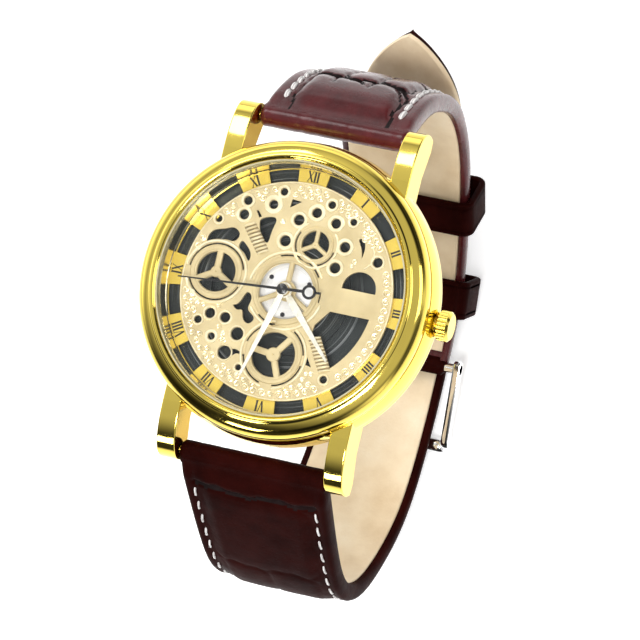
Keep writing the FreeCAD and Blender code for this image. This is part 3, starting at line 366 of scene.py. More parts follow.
def leather(name, dark, light, gloss, coat, specular):
    """Glazed leather: mottled dye, fine pores and creases."""
    m = Nodes(name)
    mottle = m.noise(160.0, 5.0, 0.6)
    m.set(Base_Color=m.ramp(mottle, [(0.35, dark), (0.68, light)]))
    cells = m.add("ShaderNodeTexVoronoi", Scale=1500.0)
    m.put(cells.inputs["Vector"], m.where())
    pores = m.grey(cells.outputs["Distance"], 0.0, 1.0, 0.0, 0.35)
    creases = m.noise(420.0, 6.0, 0.62)
    both = m.combine("ADD", m.grey(pores, 0.0, 0.35), creases)
    m.set(Normal=m.bump(both, 0.30, 0.00016))
    m.set(Roughness=m.grey(creases, gloss, gloss + 0.16, 0.3, 0.7))
    m.set(Coat_Weight=coat, Coat_Roughness=0.2, Specular_IOR_Level=specular)
    return m.material


def lining_leather():
    """Matt natural leather, fuzzy and a little stained."""
    m = Nodes("strap_lining")
    blotch = m.noise(90.0, 5.0, 0.6)
    stops = [(0.30, (0.66, 0.49, 0.29)), (0.55, (0.82, 0.67, 0.46)), (0.75, (0.90, 0.78, 0.58))]
    m.set(Base_Color=m.ramp(blotch, stops))
    fibre = m.noise(2400.0, 4.0, 0.7)
    m.set(Normal=m.bump(fibre, 0.45, 0.00008))
    m.set(Roughness=m.grey(fibre, 0.62, 0.82, 0.3, 0.7), Sheen_Weight=0.2)
    return m.material


def thread():
    """Pale waxed thread with its twist."""
    m = Nodes("stitch_thread")
    twist = m.add("ShaderNodeTexWave", Scale=900.0, Distortion=1.0)
    m.put(twist.inputs["Vector"], m.stretched((1.0, 1.0, 0.6)))
    stops = [(0.2, (0.46, 0.43, 0.42)), (0.7, (0.80, 0.78, 0.76))]
    m.set(Base_Color=m.ramp(twist.outputs["Fac"], stops), Roughness=0.55)
    m.set(Normal=m.bump(twist.outputs["Fac"], 0.6, 0.00004), Sheen_Weight=0.2)
    return m.material


def glass():
    """Clear crystal: lets nearly all light through and mirrors a little of it."""
    m = Nodes("crystal_glass")
    smear = m.noise(60.0, 2.0)
    m.set(Base_Color=(0.95, 0.98, 0.97, 1.0), Roughness=m.grey(smear, 0.02, 0.05))
    m.set(Metallic=1.0, Alpha=0.02)
    m.material.blend_method = "BLEND"
    return m.material


def hand_paint():
    """Cream lacquer over metal, as on the two broad hands."""
    m = Nodes("hand_white")
    cloud = m.noise(700.0, 3.0)
    m.set(Base_Color=m.ramp(cloud, [(0.3, (0.88, 0.83, 0.66)), (0.7, (0.98, 0.95, 0.84))]))
    m.set(Metallic=0.25, Roughness=m.grey(cloud, 0.22, 0.32), Coat_Weight=0.4)
    return m.material


def plastic(name, colour, rough, speckle=0.1, scale=900.0):
    m = Nodes(name)
    grain = m.noise(scale, 3.0)
    darker = tuple(c * (1.0 - speckle) for c in colour)
    m.set(Base_Color=m.ramp(grain, [(0.3, darker), (0.7, colour)]))
    m.set(Roughness=m.grey(grain, rough, rough + 0.08), Normal=m.bump(grain, 0.1, 0.00003))
    return m.material


def movement_dark():
    """Dark grey ring, turned in fine circles, with painted highlights: pale streaks along some of the
    circles, in patches.
    """
    m = Nodes("movement_dark")
    fine, broad = m.rings(5200.0), m.rings(1900.0)
    patches = m.noise(150.0, 2.0)
    # Pale streaks along the turned circles, in patches: painted highlights of the turned steel.
    highlight_streak = m.grey(broad, 0.0, 1.0, 0.52, 0.66)
    shown = m.combine("MULTIPLY", highlight_streak, m.grey(patches, 0.0, 1.0, 0.42, 0.60))
    stops = [(0.0, (0.022, 0.027, 0.027)), (0.5, (0.10, 0.11, 0.11)), (1.0, (0.66, 0.68, 0.68))]
    m.set(Base_Color=m.ramp(shown, stops), Metallic=0.5)
    m.set(Roughness=m.grey(fine, 0.26, 0.42, 0.3, 0.7), Normal=m.bump(fine, 0.6, 0.00005))
    return m.material


def coil_wire():
    """Copper winding, its turns as fine ridges."""
    m = Nodes("coil_copper")
    turns = m.add("ShaderNodeTexWave", Scale=2600.0)
    m.put(turns.inputs["Vector"], m.where())
    stops = [(0.2, (0.30, 0.10, 0.04)), (0.8, (0.80, 0.36, 0.16))]
    m.set(Base_Color=m.ramp(turns.outputs["Fac"], stops), Metallic=0.9, Roughness=0.35)
    m.set(Normal=m.bump(turns.outputs["Fac"], 0.7, 0.00005))
    return m.material


GLOW = 0.42                # light that the floor's middle adds, so that its shadows stay pale
GLOW_R = (0.07, 0.16)      # it fades between these distances, m


def floor_material():
    m = Nodes("floor_pale")
    cloud = m.noise(3.0, 3.0)
    m.set(Base_Color=m.ramp(cloud, [(0.2, (0.90, 0.90, 0.90)), (0.8, (0.94, 0.94, 0.94))]))
    glow = m.grey(m.radius(), GLOW, 0.0, GLOW_R[0], GLOW_R[1])
    m.set(Roughness=0.7, Emission_Color=(1.0, 1.0, 1.0, 1.0), Emission_Strength=glow)
    m.set(Specular_IOR_Level=0.2)
    return m.material


GOLD = (0.93, 0.72, 0.14)
MAT = {
    "case_gold": metal("case_gold", GOLD, 0.06, 0.05, tint=0.05),
    "flange_gold": metal("flange_gold", (0.92, 0.84, 0.56), 0.14, 0.08),
    "hour_block_gold": metal("hour_block_gold", (1.0, 0.74, 0.13), 0.18, 0.08, metallic=0.55),
    "dial_champagne": frosted_dial(),
    "dial_relief_highlit": relief_gold(),
    # Darker gold laid under the rib strips so that the gaps between the ridges read dark: painted
    # shade.
    "dial_rib_shade": metal("dial_rib_shade", (0.34, 0.26, 0.13), 0.45, metallic=0.6),
    "crystal_glass": glass(),
    "gasket_nylon": plastic("gasket_nylon", (0.46, 0.42, 0.26), 0.4),
    "gasket_rubber": plastic("gasket_rubber", (0.03, 0.03, 0.03), 0.6),
    "movement_dark": movement_dark(),
    "movement_steel": metal("movement_steel", (0.97, 0.97, 0.96), 0.24, 0.12, "rings", 0.04, 0.3),
    "screw_dark": metal("screw_dark", (0.05, 0.05, 0.06), 0.3),
    "screw_steel": metal("screw_steel", (0.72, 0.73, 0.75), 0.2),
    "battery_steel": metal("battery_steel", (0.78, 0.78, 0.79), 0.16, 0.1),
    "circuit_green": plastic("circuit_green", (0.05, 0.24, 0.12), 0.3),
    "coil_copper": coil_wire(),
    "stator_iron": metal("stator_iron", (0.42, 0.42, 0.44), 0.35, 0.1, (1.0, 0.05, 1.0)),
    "back_steel": metal("back_steel", (0.74, 0.74, 0.74), 0.24, 0.14, "rings"),
    "arbor_steel": metal("arbor_steel", (0.72, 0.73, 0.75), 0.14),
    "rotor_magnet": plastic("rotor_magnet", (0.10, 0.10, 0.11), 0.45),
    "gear_brass": metal("gear_brass", (0.83, 0.63, 0.28), 0.24, 0.1, (1.0, 0.08, 1.0)),
    "hand_white": hand_paint(),
    "hand_black": plastic("hand_black", (0.006, 0.006, 0.007), 0.25, 0.3),
    # One leather in a shaded and a lit copy: this darker one, for the 6 o'clock half, the loops and the
    # buckle fold, is painted shade; the lighter, glossier one after it, for the 12 o'clock half, is
    # painted light.
    "strap_leather": leather(
        "strap_leather", (0.012, 0.0016, 0.0012), (0.024, 0.0030, 0.0022), 0.36, 0.0, 0.01
    ),
    "strap_leather_lit_copy": leather(
        "strap_leather_lit_copy", (0.044, 0.006, 0.007), (0.100, 0.013, 0.015), 0.20, 0.35, 0.14
    ),
    # Near-black copy of the strap leather for faces deep in the cracks: painted shade.
    "strap_crease_shade": leather(
        "strap_crease_shade", (0.004, 0.001, 0.001), (0.010, 0.002, 0.002), 0.45, 0.0, 0.1
    ),
    "strap_lining": lining_leather(),
    "stitch_thread": thread(),
    "buckle_steel": metal("buckle_steel", (0.90, 0.90, 0.90), 0.07, 0.05),
    "numeral_black": plastic("numeral_black", (0.008, 0.007, 0.006), 0.5, 0.3),
}


def paint_cad_nodes():
    """Every CAD node takes the material of its slot in the record."""
    for part in frame["record"]["subparts"]:
        obj = NODES[part["node"]]
        obj.data.materials.clear()
        obj.data.materials.append(MAT[part["material_slot"]])


# ---- strap --------------------------------------------------------------------------------
# Centre lines in the YZ plane, mm, from the spring bar to the free end, as the CAD solids have.
STRAP_12_PATH = [
    (23.9, 0.6), (26.9, -3.2), (29.6, -7.8), (31.1, -13.0), (31.7, -19.6), (30.3, -26.3),
    (26.1, -33.7), (21.0, -38.8), (15.8, -43.4), (11.0, -46.3), (5.2, -47.6), (-0.2, -47.85),
]
STRAP_6_PATH = [
    (-23.9, 0.6), (-27.7, -5.4), (-32.3, -13.1), (-35.6, -21.3), (-34.9, -29.8), (-30.1, -38.3),
    (-22.8, -45.3), (-13.3, -48.9), (-4.5, -50.3), (4.5, -50.5), (12.6, -48.8), (19.0, -44.5),
    (24.6, -39.1), (32.7, -31.0), (41.3, -22.4),
]
BAR_Y, BAR_Z = 22.9, 1.0
ROLL_R = 1.5
LINING_T = 0.8
STRAP_WIDTH = 20.4
TAIL_POINT = 13.0
BUCKLE_AT = (-0.9, -47.9)
STEP = 0.3                 # mesh step along and across the strap, mm
NARROW_BY = 0.8            # fractions of the length where width and thickness reach their ends
THIN_BY = 0.45
MARGIN_START, MARGIN_SPAN = 0.72, 0.18   # where the turned margin narrows towards the tail
MARGIN = 1.0               # leather turned under on each side of the lining
FLUSH_TRIM = 0.30          # how far the leather stands inside the lining on the cut tail


def smoothstep(a, b, x):
    t = np.clip((x - a) / (b - a), 0.0, 1.0)
    return t * t * (3 - 2 * t)


def natural_spline(t, y, ts):
    """Natural cubic spline through (t, y), read at ts."""
    n = len(t)
    h = np.diff(t)
    a = np.zeros((n, n))
    b = np.zeros(n)
    a[0, 0] = a[-1, -1] = 1.0
    for i in range(1, n - 1):
        a[i, i - 1] = h[i - 1]
        a[i, i] = 2 * (h[i - 1] + h[i])
        a[i, i + 1] = h[i]
        b[i] = 6 * ((y[i + 1] - y[i]) / h[i] - (y[i] - y[i - 1]) / h[i - 1])
    m = np.linalg.solve(a, b)
    i = np.clip(np.searchsorted(t, ts, side="right") - 1, 0, n - 2)
    d = ts - t[i]
    slope = (y[i + 1] - y[i]) / h[i] - h[i] * (2 * m[i] + m[i + 1]) / 6
    return y[i] + d * (slope + d * (m[i] / 2 + d * (m[i + 1] - m[i]) / (6 * h[i])))


class StrapHalf:
    """Shape shared by all the pieces of one strap half."""

    def __init__(self, points, side, end_width, thick, tail_margin, pointed):
        p = np.array(points, float)
        chord = np.concatenate([[0], np.cumsum(np.hypot(*np.diff(p, axis=0).T))])
        fine = np.linspace(0, chord[-1], 1500)
        self.y = natural_spline(chord, p[:, 0], fine)
        self.z = natural_spline(chord, p[:, 1], fine)
        steps = np.hypot(np.diff(self.y), np.diff(self.z))
        self.s = np.concatenate([[0], np.cumsum(steps)])
        self.length = float(self.s[-1])
        self.side = side
        self.end_width = end_width
        self.thick = thick
        self.tail_margin = tail_margin
        self.pointed = pointed

    def at(self, s):
        """Point (y, z), outward normal and tangent at a distance along the line."""
        inside = min(max(s, 0.4), self.length - 0.4)
        ty = np.interp(inside + 0.4, self.s, self.y) - np.interp(inside - 0.4, self.s, self.y)
        tz = np.interp(inside + 0.4, self.s, self.z) - np.interp(inside - 0.4, self.s, self.z)
        size = math.hypot(ty, tz)
        ty, tz = ty / size, tz / size
        base = min(max(s, 0.0), self.length)
        y = float(np.interp(base, self.s, self.y)) + ty * (s - base)
        z = float(np.interp(base, self.s, self.z)) + tz * (s - base)
        return (y, z), (-tz * self.side, ty * self.side), (ty, tz)

    def place(self, x, s, height):
        """Point in metres at x across, s along and a height off the centre line."""
        (y, z), (ny, nz), _ = self.at(s)
        return (x * MM, (y + ny * height) * MM, (z + nz * height) * MM)

    def half(self, s):
        taper = np.clip(s / self.length / NARROW_BY, 0, 1)
        half = 0.5 * (STRAP_WIDTH + (self.end_width - STRAP_WIDTH) * taper)
        if self.pointed:
            left = np.clip((self.length - s) / TAIL_POINT, 0.0004, 1.0)
            half = half * np.sin(math.pi / 2 * left**0.75)
        return half

    def t(self, s):
        share = np.clip(s / self.length / THIN_BY, 0, 1)
        return self.thick[0] + (self.thick[1] - self.thick[0]) * share

    def towards_tail(self, s):
        return np.clip((s / self.length - MARGIN_START) / MARGIN_SPAN, 0, 1)

    def margin(self, s):
        return MARGIN + (self.tail_margin - MARGIN) * self.towards_tail(s)

    def trim(self, s):
        """How far the leather stands inside the lining's edge: only where the tail is cut flush."""
        if not self.pointed:
            return np.zeros_like(s)
        return FLUSH_TRIM * self.towards_tail(s)

    def nearest(self, y, z):
        return float(self.s[np.argmin(np.hypot(self.y - y, self.z - z))])


def cell_edge(s, x, cell):
    """Signed distance to the edge of a rounded rectangular scale (x0, x1, s0, s1, corner)."""
    x0, x1, s0, s1, corner = cell
    dx = np.abs(x - (x0 + x1) / 2) - (x1 - x0) / 2 + corner
    ds = np.abs(s - (s0 + s1) / 2) - (s1 - s0) / 2 + corner
    outside = np.hypot(np.maximum(dx, 0), np.maximum(ds, 0))
    return outside + np.minimum(np.maximum(dx, ds), 0) - corner


def segment_distance(s, x, a, b):
    """Distance from (x, s) to the segment from a to b, both (x, s), and the share along it."""
    ux, us = b[0] - a[0], b[1] - a[1]
    k = np.clip(((x - a[0]) * ux + (s - a[1]) * us) / (ux * ux + us * us), 0, 1)
    return np.hypot(x - a[0] - k * ux, s - a[1] - k * us), k


class Scales:
    """Embossed crocodile scales: puffed cells with cracks between them."""

    def __init__(self, seed, length, half_w, first_cell, pitch, cracks, crack_depth, puff_height):
        rng = random.Random(seed)
        self.waves = [rng.uniform(0, 6.28) for _ in range(4)]
        self.cells = [first_cell]
        self.cracks = cracks
        self.crack_depth = crack_depth
        self.puff_height = puff_height
        start = first_cell[3]
        while start < length - 6:
            size = pitch * rng.uniform(0.86, 1.14)
            w = half_w(start) - 3.1
            splits = [rng.uniform(-1.4, 1.4)]
            if rng.random() < 0.45:
                splits = [-w / 3 + rng.uniform(-0.6, 0.6), w / 3 + rng.uniform(-0.6, 0.6)]
            edges = [-w] + splits + [w]
            for x0, x1 in zip(edges, edges[1:]):
                lift = rng.uniform(-0.35, 0.35)
                self.cells.append((x0, x1, start + lift * 0.4, start + size + lift, 1.3))
            start += size

    def shape(self, s, x):
        """Crack depth and puff, each from 0 to 1, at arrays of (s, x)."""
        ws = s + 0.26 * np.sin(x * 0.75 + self.waves[0]) + 0.12 * np.sin(x * 2.1 + self.waves[1])
        wx = x + 0.20 * np.sin(s * 0.8 + self.waves[2]) + 0.08 * np.sin(s * 2.3 + self.waves[3])
        crack = np.zeros_like(s)
        puff = np.zeros_like(s)
        for cell in self.cells:
            near = (s > cell[2] - 3) & (s < cell[3] + 3)
            edge = np.where(near, cell_edge(ws, wx, cell), 9.0)
            crack = np.maximum(crack, np.exp(-((edge / 0.26) ** 2)))
            puff = np.maximum(puff, smoothstep(0.0, 1.9, -edge))
        crack = crack * self.crack_depth
        for a, b, width in self.cracks:
            away, along = segment_distance(ws, wx, a, b)
            crack = np.maximum(crack, np.exp(-((away / (width * (1.15 - 0.6 * along))) ** 2)))
        return crack, puff


def leather_heights(half, scales, s, x, edge, pad_start, pad_end, pad_rise, seam):
    """Height of the outer surface over the centre line, and how deep it lies in a crack."""
    t = half.t(s)
    crack, puff = scales.shape(s, x)
    inner = smoothstep(seam + 0.4, seam + 1.1, edge)
    along = smoothstep(-1.0, pad_start, s) * (1 - smoothstep(pad_end * 0.5, pad_end, s))
    dome = 1 - 0.45 * (x / half.half(s)) ** 2
    height = t / 2 - 0.22 + smoothstep(seam + 0.3, seam + 2.5, edge) * (0.12 + pad_rise * along * dome)
    height = height + scales.puff_height * puff * inner
    height = height - 0.15 * np.exp(-(((edge - seam) / 0.40) ** 2))
    crack = crack * smoothstep(seam - 0.5, seam + 0.5, edge)
    return height - 0.42 * crack, crack


SIDE_R = 0.55              # rounded sides of the strap
SIDE_STEPS = 6
SHADE_CRACK_DEPTH = 0.45          # cracks deeper than this take the near-black crease leather: painted shade


def strap_leather(name, half, scales, node, pad, material, holes=()):
    """Outer leather of one half: a closed skin with puffed scales above, rounded sides, and
    the margins turned under round the lining.  pad is (start, end, rise)."""
    (sy, sz), (ny, nz), (ty, tz) = half.at(0.0)
    y_sign = 1 if sy > 0 else -1
    along = (y_sign * BAR_Y - sy) * ty + (BAR_Z - sz) * tz
    up = (y_sign * BAR_Y - sy) * ny + (BAR_Z - sz) * nz
    roll_top = up + ROLL_R
    count = int((half.length - along) / STEP)
    rows = np.linspace(along, half.length, count + 1)
    cols = int(STRAP_WIDTH / STEP)
    u = np.linspace(-1.0, 1.0, cols + 1)
    width = np.maximum(half.half(rows) - half.trim(rows), 0.02)
    flat = np.maximum(width - SIDE_R, width * 0.3)
    s = np.repeat(rows[:, None], cols + 1, axis=1)
    x = flat[:, None] * u[None, :]
    edge = width[:, None] - np.abs(x)
    height, crack = leather_heights(half, scales, s, x, edge, *pad)
    height = roll_top + (height - roll_top) * smoothstep(along, 2.6, s)
    verts = []
    for i, si in enumerate(rows):
        t = float(half.t(si))
        w, f = width[i], flat[i]
        bottom = -t / 2 if si > -0.05 else up + 0.85
        floor = bottom + (LINING_T - 0.04 if si > 0.9 else 0.0)
        m = float(half.margin(si))
        inlay = max(w - m, 0.02)
        section = [(x[i, j], height[i, j]) for j in range(cols + 1)]
        for sign in (1, -1):
            top_h = height[i, -1] if sign > 0 else height[i, 0]
            middle = (top_h + bottom) / 2
            arc = []
            for k in range(1, SIDE_STEPS):
                a = math.pi * k / SIDE_STEPS
                bulge = math.sin(a) ** 0.7
                arc.append((sign * (f + (w - f) * bulge), middle + (top_h - middle) * math.cos(a)))
            under = [(sign * f, bottom), (sign * min(inlay, f * 0.999), bottom),
                     (sign * min(inlay, f * 0.999) * 0.999, floor)]
            part = arc + under
            section += part if sign > 0 else part[::-1]
        verts += [half.place(px, si, ph) for px, ph in section]
    ring = len(section)
    faces = skin_faces(count + 1, ring)
    # Faces deep in a crack take the near-black crease leather, as painted shade.
    dark = [k < cols and crack[i, k] > SHADE_CRACK_DEPTH for i in range(count) for k in range(ring)]
    faces.append(tuple(range(ring)))
    faces.append(tuple(count * ring + k for k in reversed(range(ring))))
    dark += [False, False]
    obj = new_object(name, verts, faces, material, weld=False)
    obj.data.materials.append(MAT["strap_crease_shade"])
    for polygon, in_painted_shade in zip(obj.data.polygons, dark):
        polygon.material_index = 1 if in_painted_shade else 0
    if holes:
        cut_holes(obj, half, holes)
    auto_smooth(obj, 60)
    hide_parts(node)
    return obj


def hole_cutter(half, s, radius_x, radius_s, square=1.0):
    """Prism to cut through the strap at a distance along it.  Its outline is an ellipse, and
    squarer than one where square is under 1."""
    (y, z), (ny, nz), (ty, tz) = half.at(s)
    verts = []
    sides = 28
    for h in (-4.0, 4.0):
        for k in range(sides):
            a = 2 * math.pi * k / sides
            across = radius_x * math.copysign(abs(math.cos(a)) ** square, math.cos(a))
            along = radius_s * math.copysign(abs(math.sin(a)) ** square, math.sin(a))
            verts.append((
                across * MM,
                (y + ny * h + ty * along) * MM,
                (z + nz * h + tz * along) * MM,
            ))
    return verts, skin_faces(2, sides) + cap_faces(2, sides)


def cut_holes(obj, half, holes):
    """Cuts holes given as hole_cutter's values after half through a strap layer."""
    verts, faces = boxes_of([hole_cutter(half, *hole) for hole in holes])
    cutter = new_object("hole_cutter", verts, faces, MAT["strap_crease_shade"], body=None)
    boolean = obj.modifiers.new("holes", "BOOLEAN")
    boolean.operation = "DIFFERENCE"
    boolean.solver = "EXACT"
    boolean.object = cutter
    depsgraph = bpy.context.evaluated_depsgraph_get()
    cut = bpy.data.meshes.new_from_object(obj.evaluated_get(depsgraph))
    obj.modifiers.clear()
    obj.data = cut
    bpy.data.objects.remove(cutter)


def strap_lining(name, half, node, holes=(), stop=0.0):
    """Beige lining inlaid between the turned margins, softly rounded at its edges."""
    start, end = 1.0, half.length - stop
    rows = int((end - start) / 0.6)
    across = [-1.0, -0.99, -0.96, -0.8, -0.5, 0.0, 0.5, 0.8, 0.96, 0.99, 1.0]
    ring = 2 * len(across)
    verts = []
    for i in range(rows + 1):
        s = start + (end - start) * i / rows
        w = max(float(half.half(s) - half.margin(s)) - 0.04, 0.03)
        low = -float(half.t(s)) / 2
        section = [(a * w, low + LINING_T - 0.06) for a in across]
        for a in reversed(across):
            curl = 0.30 * max(0.0, (abs(a) - 0.96) / 0.04) ** 2
            section.append((a * w, low - 0.10 + curl))
        verts += [half.place(px, s, ph) for px, ph in section]
    faces = skin_faces(rows + 1, ring) + cap_faces(rows + 1, ring)
    obj = new_object(name, verts, faces, MAT["strap_lining"], weld=False)
    if holes:
        cut_holes(obj, half, holes)
    auto_smooth(obj, 50)
    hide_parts(node)
    return obj


def stitches(name, half, scales, pad, s0, s1, pitch, length, radius):
    """Two rows of short threads lying in the stitching groove, each a little askew."""
    rng = random.Random(7)
    solids = []
    for side in (-1, 1):
        s = s0
        while s + length < s1:
            points = []
            for k in range(7):
                share = k / 6
                sk = s + length * share
                w = float(half.half(sk))
                x = side * (w - pad[-1]) + 0.22 * (share - 0.5) * side
                height, _ = leather_heights(
                    half, scales, np.array([sk]), np.array([x]), np.array([w - abs(x)]), *pad
                )
                sink = 0.16 - 0.30 * math.sin(math.pi * share) ** 0.6
                point = half.place(x, sk, float(height[0]) - sink)
                points.append(tuple(c / MM for c in point))
            solids.append(tube_along(points, radius, 8))
            s += pitch * rng.uniform(0.97, 1.03)
    merged_piece(name, solids, MAT["stitch_thread"], smooth_angle=80)


def lug_roll(name, y_sign, seed, material):
    """Strap end rolled round the spring bar."""
    rng = random.Random(seed)
    half, bore = STRAP_WIDTH / 2, 0.8
    creases = [(rng.uniform(-9, 9), rng.uniform(0.25, 0.6)) for _ in range(6)]
    cols, steps = 90, 40
    xs = [-half + STRAP_WIDTH * i / cols for i in range(cols + 1)]
    verts = []
    for x in xs:
        end = max(0.0, 1 - (half - abs(x)) / 0.5)
        r = ROLL_R - (ROLL_R - bore) * 0.45 * end**2
        r -= 0.03 * sum(math.exp(-(((x - c) / w) ** 2)) for c, w in creases)
        for k in range(steps):
            a = 2 * math.pi * k / steps
            y, z = y_sign * BAR_Y + r * math.cos(a), BAR_Z + r * math.sin(a)
            verts.append((x * MM, y * MM, z * MM))
    inner = len(verts)
    for x in (xs[0], xs[-1]):
        for k in range(steps):
            a = 2 * math.pi * k / steps
            y, z = y_sign * BAR_Y + bore * math.cos(a), BAR_Z + bore * math.sin(a)
            verts.append((x * MM, y * MM, z * MM))
    last = cols * steps
    faces = skin_faces(cols + 1, steps)
    for k in range(steps):
        m = (k + 1) % steps
        faces.append((k, m, inner + m, inner + k))
        faces.append((last + k, last + m, inner + steps + m, inner + steps + k))
        faces.append((inner + k, inner + m, inner + steps + m, inner + steps + k))
    obj = new_object(name, verts, faces, material)
    auto_smooth(obj, 50)
    return obj


HALF_12 = StrapHalf(STRAP_12_PATH, 1, 18.0, (3.2, 2.3), 1.0, False)
HALF_6 = StrapHalf(STRAP_6_PATH, -1, 15.0, (3.2, 2.1), 0.03, True)


def buckle_roll():
    """Leather folded round the buckle's bar, notched for the tongue."""
    solids = []
    for x0, x1 in ((-8.9, -1.05), (1.05, 8.9)):
        points = [(x0 + (x1 - x0) * k / 12, *BUCKLE_AT) for k in range(13)]
        solids.append(tube_along(points, 1.28, 24))
    merged_piece(
        "strap_12_buckle_fold", solids, MAT["strap_leather"], smooth_angle=60
    )


TONGUE_SLOT_AT = (-1.55, -50.4)      # where the tongue goes through the 6 o'clock half, (y, z)
TONGUE_SLOT = (0.85, 1.55, 0.55)     # half width, half length, how square
HOLE_R = 0.75
HOLE_PITCH = 6.2


def make_strap():
    slot_s = HALF_6.nearest(*TONGUE_SLOT_AT)
    holes = [(slot_s, *TONGUE_SLOT)]
    for k in (-1, 1, 2, 3, 4, 5, 6):
        holes.append((slot_s + HOLE_PITCH * k, HOLE_R, HOLE_R))
    crack_s = 8.8
    notches = [
        ((-3.3, crack_s), (-3.5, crack_s - 2.4), 0.28), ((-0.4, crack_s), (0.6, crack_s - 2.0), 0.26),
        ((2.1, crack_s), (1.4, crack_s - 2.5), 0.28), ((5.2, crack_s - 0.4), (6.3, crack_s - 3.4), 0.2),
    ]
    scales_12 = Scales(
        11, HALF_12.length, HALF_12.half, (-6.9, 6.9, -6.0, crack_s, 2.4), 8.2, notches, 1.0, 0.22
    )
    fold_s = 3.0
    fold = [((-10.2, fold_s), (0.0, fold_s + 0.15), 0.42), ((10.2, fold_s), (0.0, fold_s + 0.15), 0.42)]
    scales_6 = Scales(
        23, HALF_6.length, HALF_6.half, (-7.6, 7.6, fold_s + 0.6, 19.5, 1.8), 9.0, fold, 0.22, 0.08
    )
    pad_12, pad_6 = (5.0, 40.0, 0.75, 2.0), (6.0, 46.0, 0.45, 1.5)
    # The 12 o'clock half takes the lit copy of the leather and the 6 o'clock half the shaded copy:
    # painted light and painted shade.
    lit_leather, shaded_leather = MAT["strap_leather_lit_copy"], MAT["strap_leather"]
    strap_leather("strap_12_outer", HALF_12, scales_12, "strap_12_leather", pad_12, lit_leather)
    strap_leather("strap_6_outer", HALF_6, scales_6, "strap_6_leather", pad_6, shaded_leather, holes)
    strap_lining("strap_12_inner", HALF_12, "strap_12_lining", stop=1.3)
    strap_lining("strap_6_inner", HALF_6, "strap_6_lining", holes)
    stitches(
        "strap_12_stitches", HALF_12, scales_12, pad_12, 1.6, HALF_12.length - 3.0, 2.3, 2.0, 0.36
    )
    stitches(
        "strap_6_stitches", HALF_6, scales_6, pad_6, 4.2, HALF_6.length - 12.0, 3.0, 2.1, 0.17
    )
    lug_roll("strap_12_roll", 1, 3, lit_leather)
    lug_roll("strap_6_roll", -1, 4, shaded_leather)
    buckle_roll()


def keeper(name, node, centre, angle, inner_w, inner_h, body):
    """Leather loop with rounded edges and a pressed line along each rim."""
    length, wall, corner, rim = 5.5, 0.9, 1.2, 0.32
    half_w, half_h = inner_w / 2 + wall / 2, inner_h / 2 + wall / 2
    path = []
    for cx, cy, a0 in ((1, 1, 0), (-1, 1, 90), (-1, -1, 180), (1, -1, 270)):
        for k in range(9):
            a = math.radians(a0 + 90 * k / 8)
            path.append((
                cx * (half_w - corner) + corner * math.cos(a),
                cy * (half_h - corner) + corner * math.sin(a),
            ))
    section = []
    for sx, sy, a0 in ((1, 1, 0), (-1, 1, 90), (-1, -1, 180), (1, -1, 270)):
        for k in range(5):
            a = math.radians(a0 + 90 * k / 4)
            section.append((
                sx * (length / 2 - rim) + rim * math.cos(a),
                sy * (wall / 2 - rim) + rim * math.sin(a),
            ))
        if (sx, sy) == (1, 1):
            for mark in (1, -1):
                for offset, dip in ((0.95, 0.0), (0.80, 0.12), (0.65, 0.0)):
                    place = mark * (length / 2 - (offset if mark > 0 else 1.6 - offset))
                    section.append((place, wall / 2 - dip))
    verts = []
    n = len(path)
    turn = math.radians(angle)
    for i in range(n):
        before, after = path[i - 1], path[(i + 1) % n]
        tx, ty = after[0] - before[0], after[1] - before[1]
        size = math.hypot(tx, ty)
        nx, ny = ty / size, -tx / size
        for along, out in section:
            x = path[i][0] + nx * out
            h = path[i][1] + ny * out
            y = centre[0] + along * math.cos(turn) - h * math.sin(turn)
            z = centre[1] + along * math.sin(turn) + h * math.cos(turn)
            verts.append((x * MM, y * MM, z * MM))
    faces = hoop_faces(n, len(section))
    obj = new_object(name, verts, faces, MAT["strap_leather"], body=body, weld=False)
    auto_smooth(obj, 40)
    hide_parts(node)
    return obj


def make_keepers():
    keeper("fixed_keeper_loop", "fixed_keeper", (9.4, -48.15), 16.0, 18.8, 6.2, ROOT)
    keeper("sliding_keeper_loop", "sliding_keeper", (21.4, -40.3), 45.0, 18.9, 5.9, "sliding_keeper")


# ---- case ---------------------------------------------------------------------------------
def turned_ring(name, profile, degrees, node, slot):
    """Ring of the case from its closed (radius, z) profile in mm."""
    verts, faces = lathe([(r * MM, z * MM) for r, z in profile], 360)
    obj = new_object(name, verts, faces, MAT[slot])
    auto_smooth(obj, degrees)
    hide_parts(node)


def make_bezel():
    """Polished bezel: a narrow raised lip at the glass and a wide rounded flank."""
    profile = [(16.92, 5.95), (19.55, 5.95), (19.68, 6.02)]
    profile += arc_points((17.75, 6.55), 1.95, -3, 62, 16)
    profile += [(18.2, 8.46), (17.95, 8.56)]
    profile += arc_points((17.45, 8.40), 0.40, 30, 150, 10)
    profile += [(16.92, 8.50), (16.92, 7.0)]
    turned_ring("bezel_ring", profile, 40, "bezel", "case_gold")


def make_flange():
    """Bright conical wall between glass and hour ring, with a step at its foot."""
    profile = [
        (16.25, 5.22), (16.86, 5.22), (16.86, 7.86), (16.62, 7.86), (16.5, 7.7),
        (16.42, 6.2), (16.36, 6.0), (16.25, 5.9),
    ]
    turned_ring("flange_wall", profile, 30, "flange_ring", "flange_gold")


# ---- dial ---------------------------------------------------------------------------------
DIAL_TOP = 5.6
RELIEF_FOOT = DIAL_TOP - 0.02    # raised pieces start a little under the dial's face
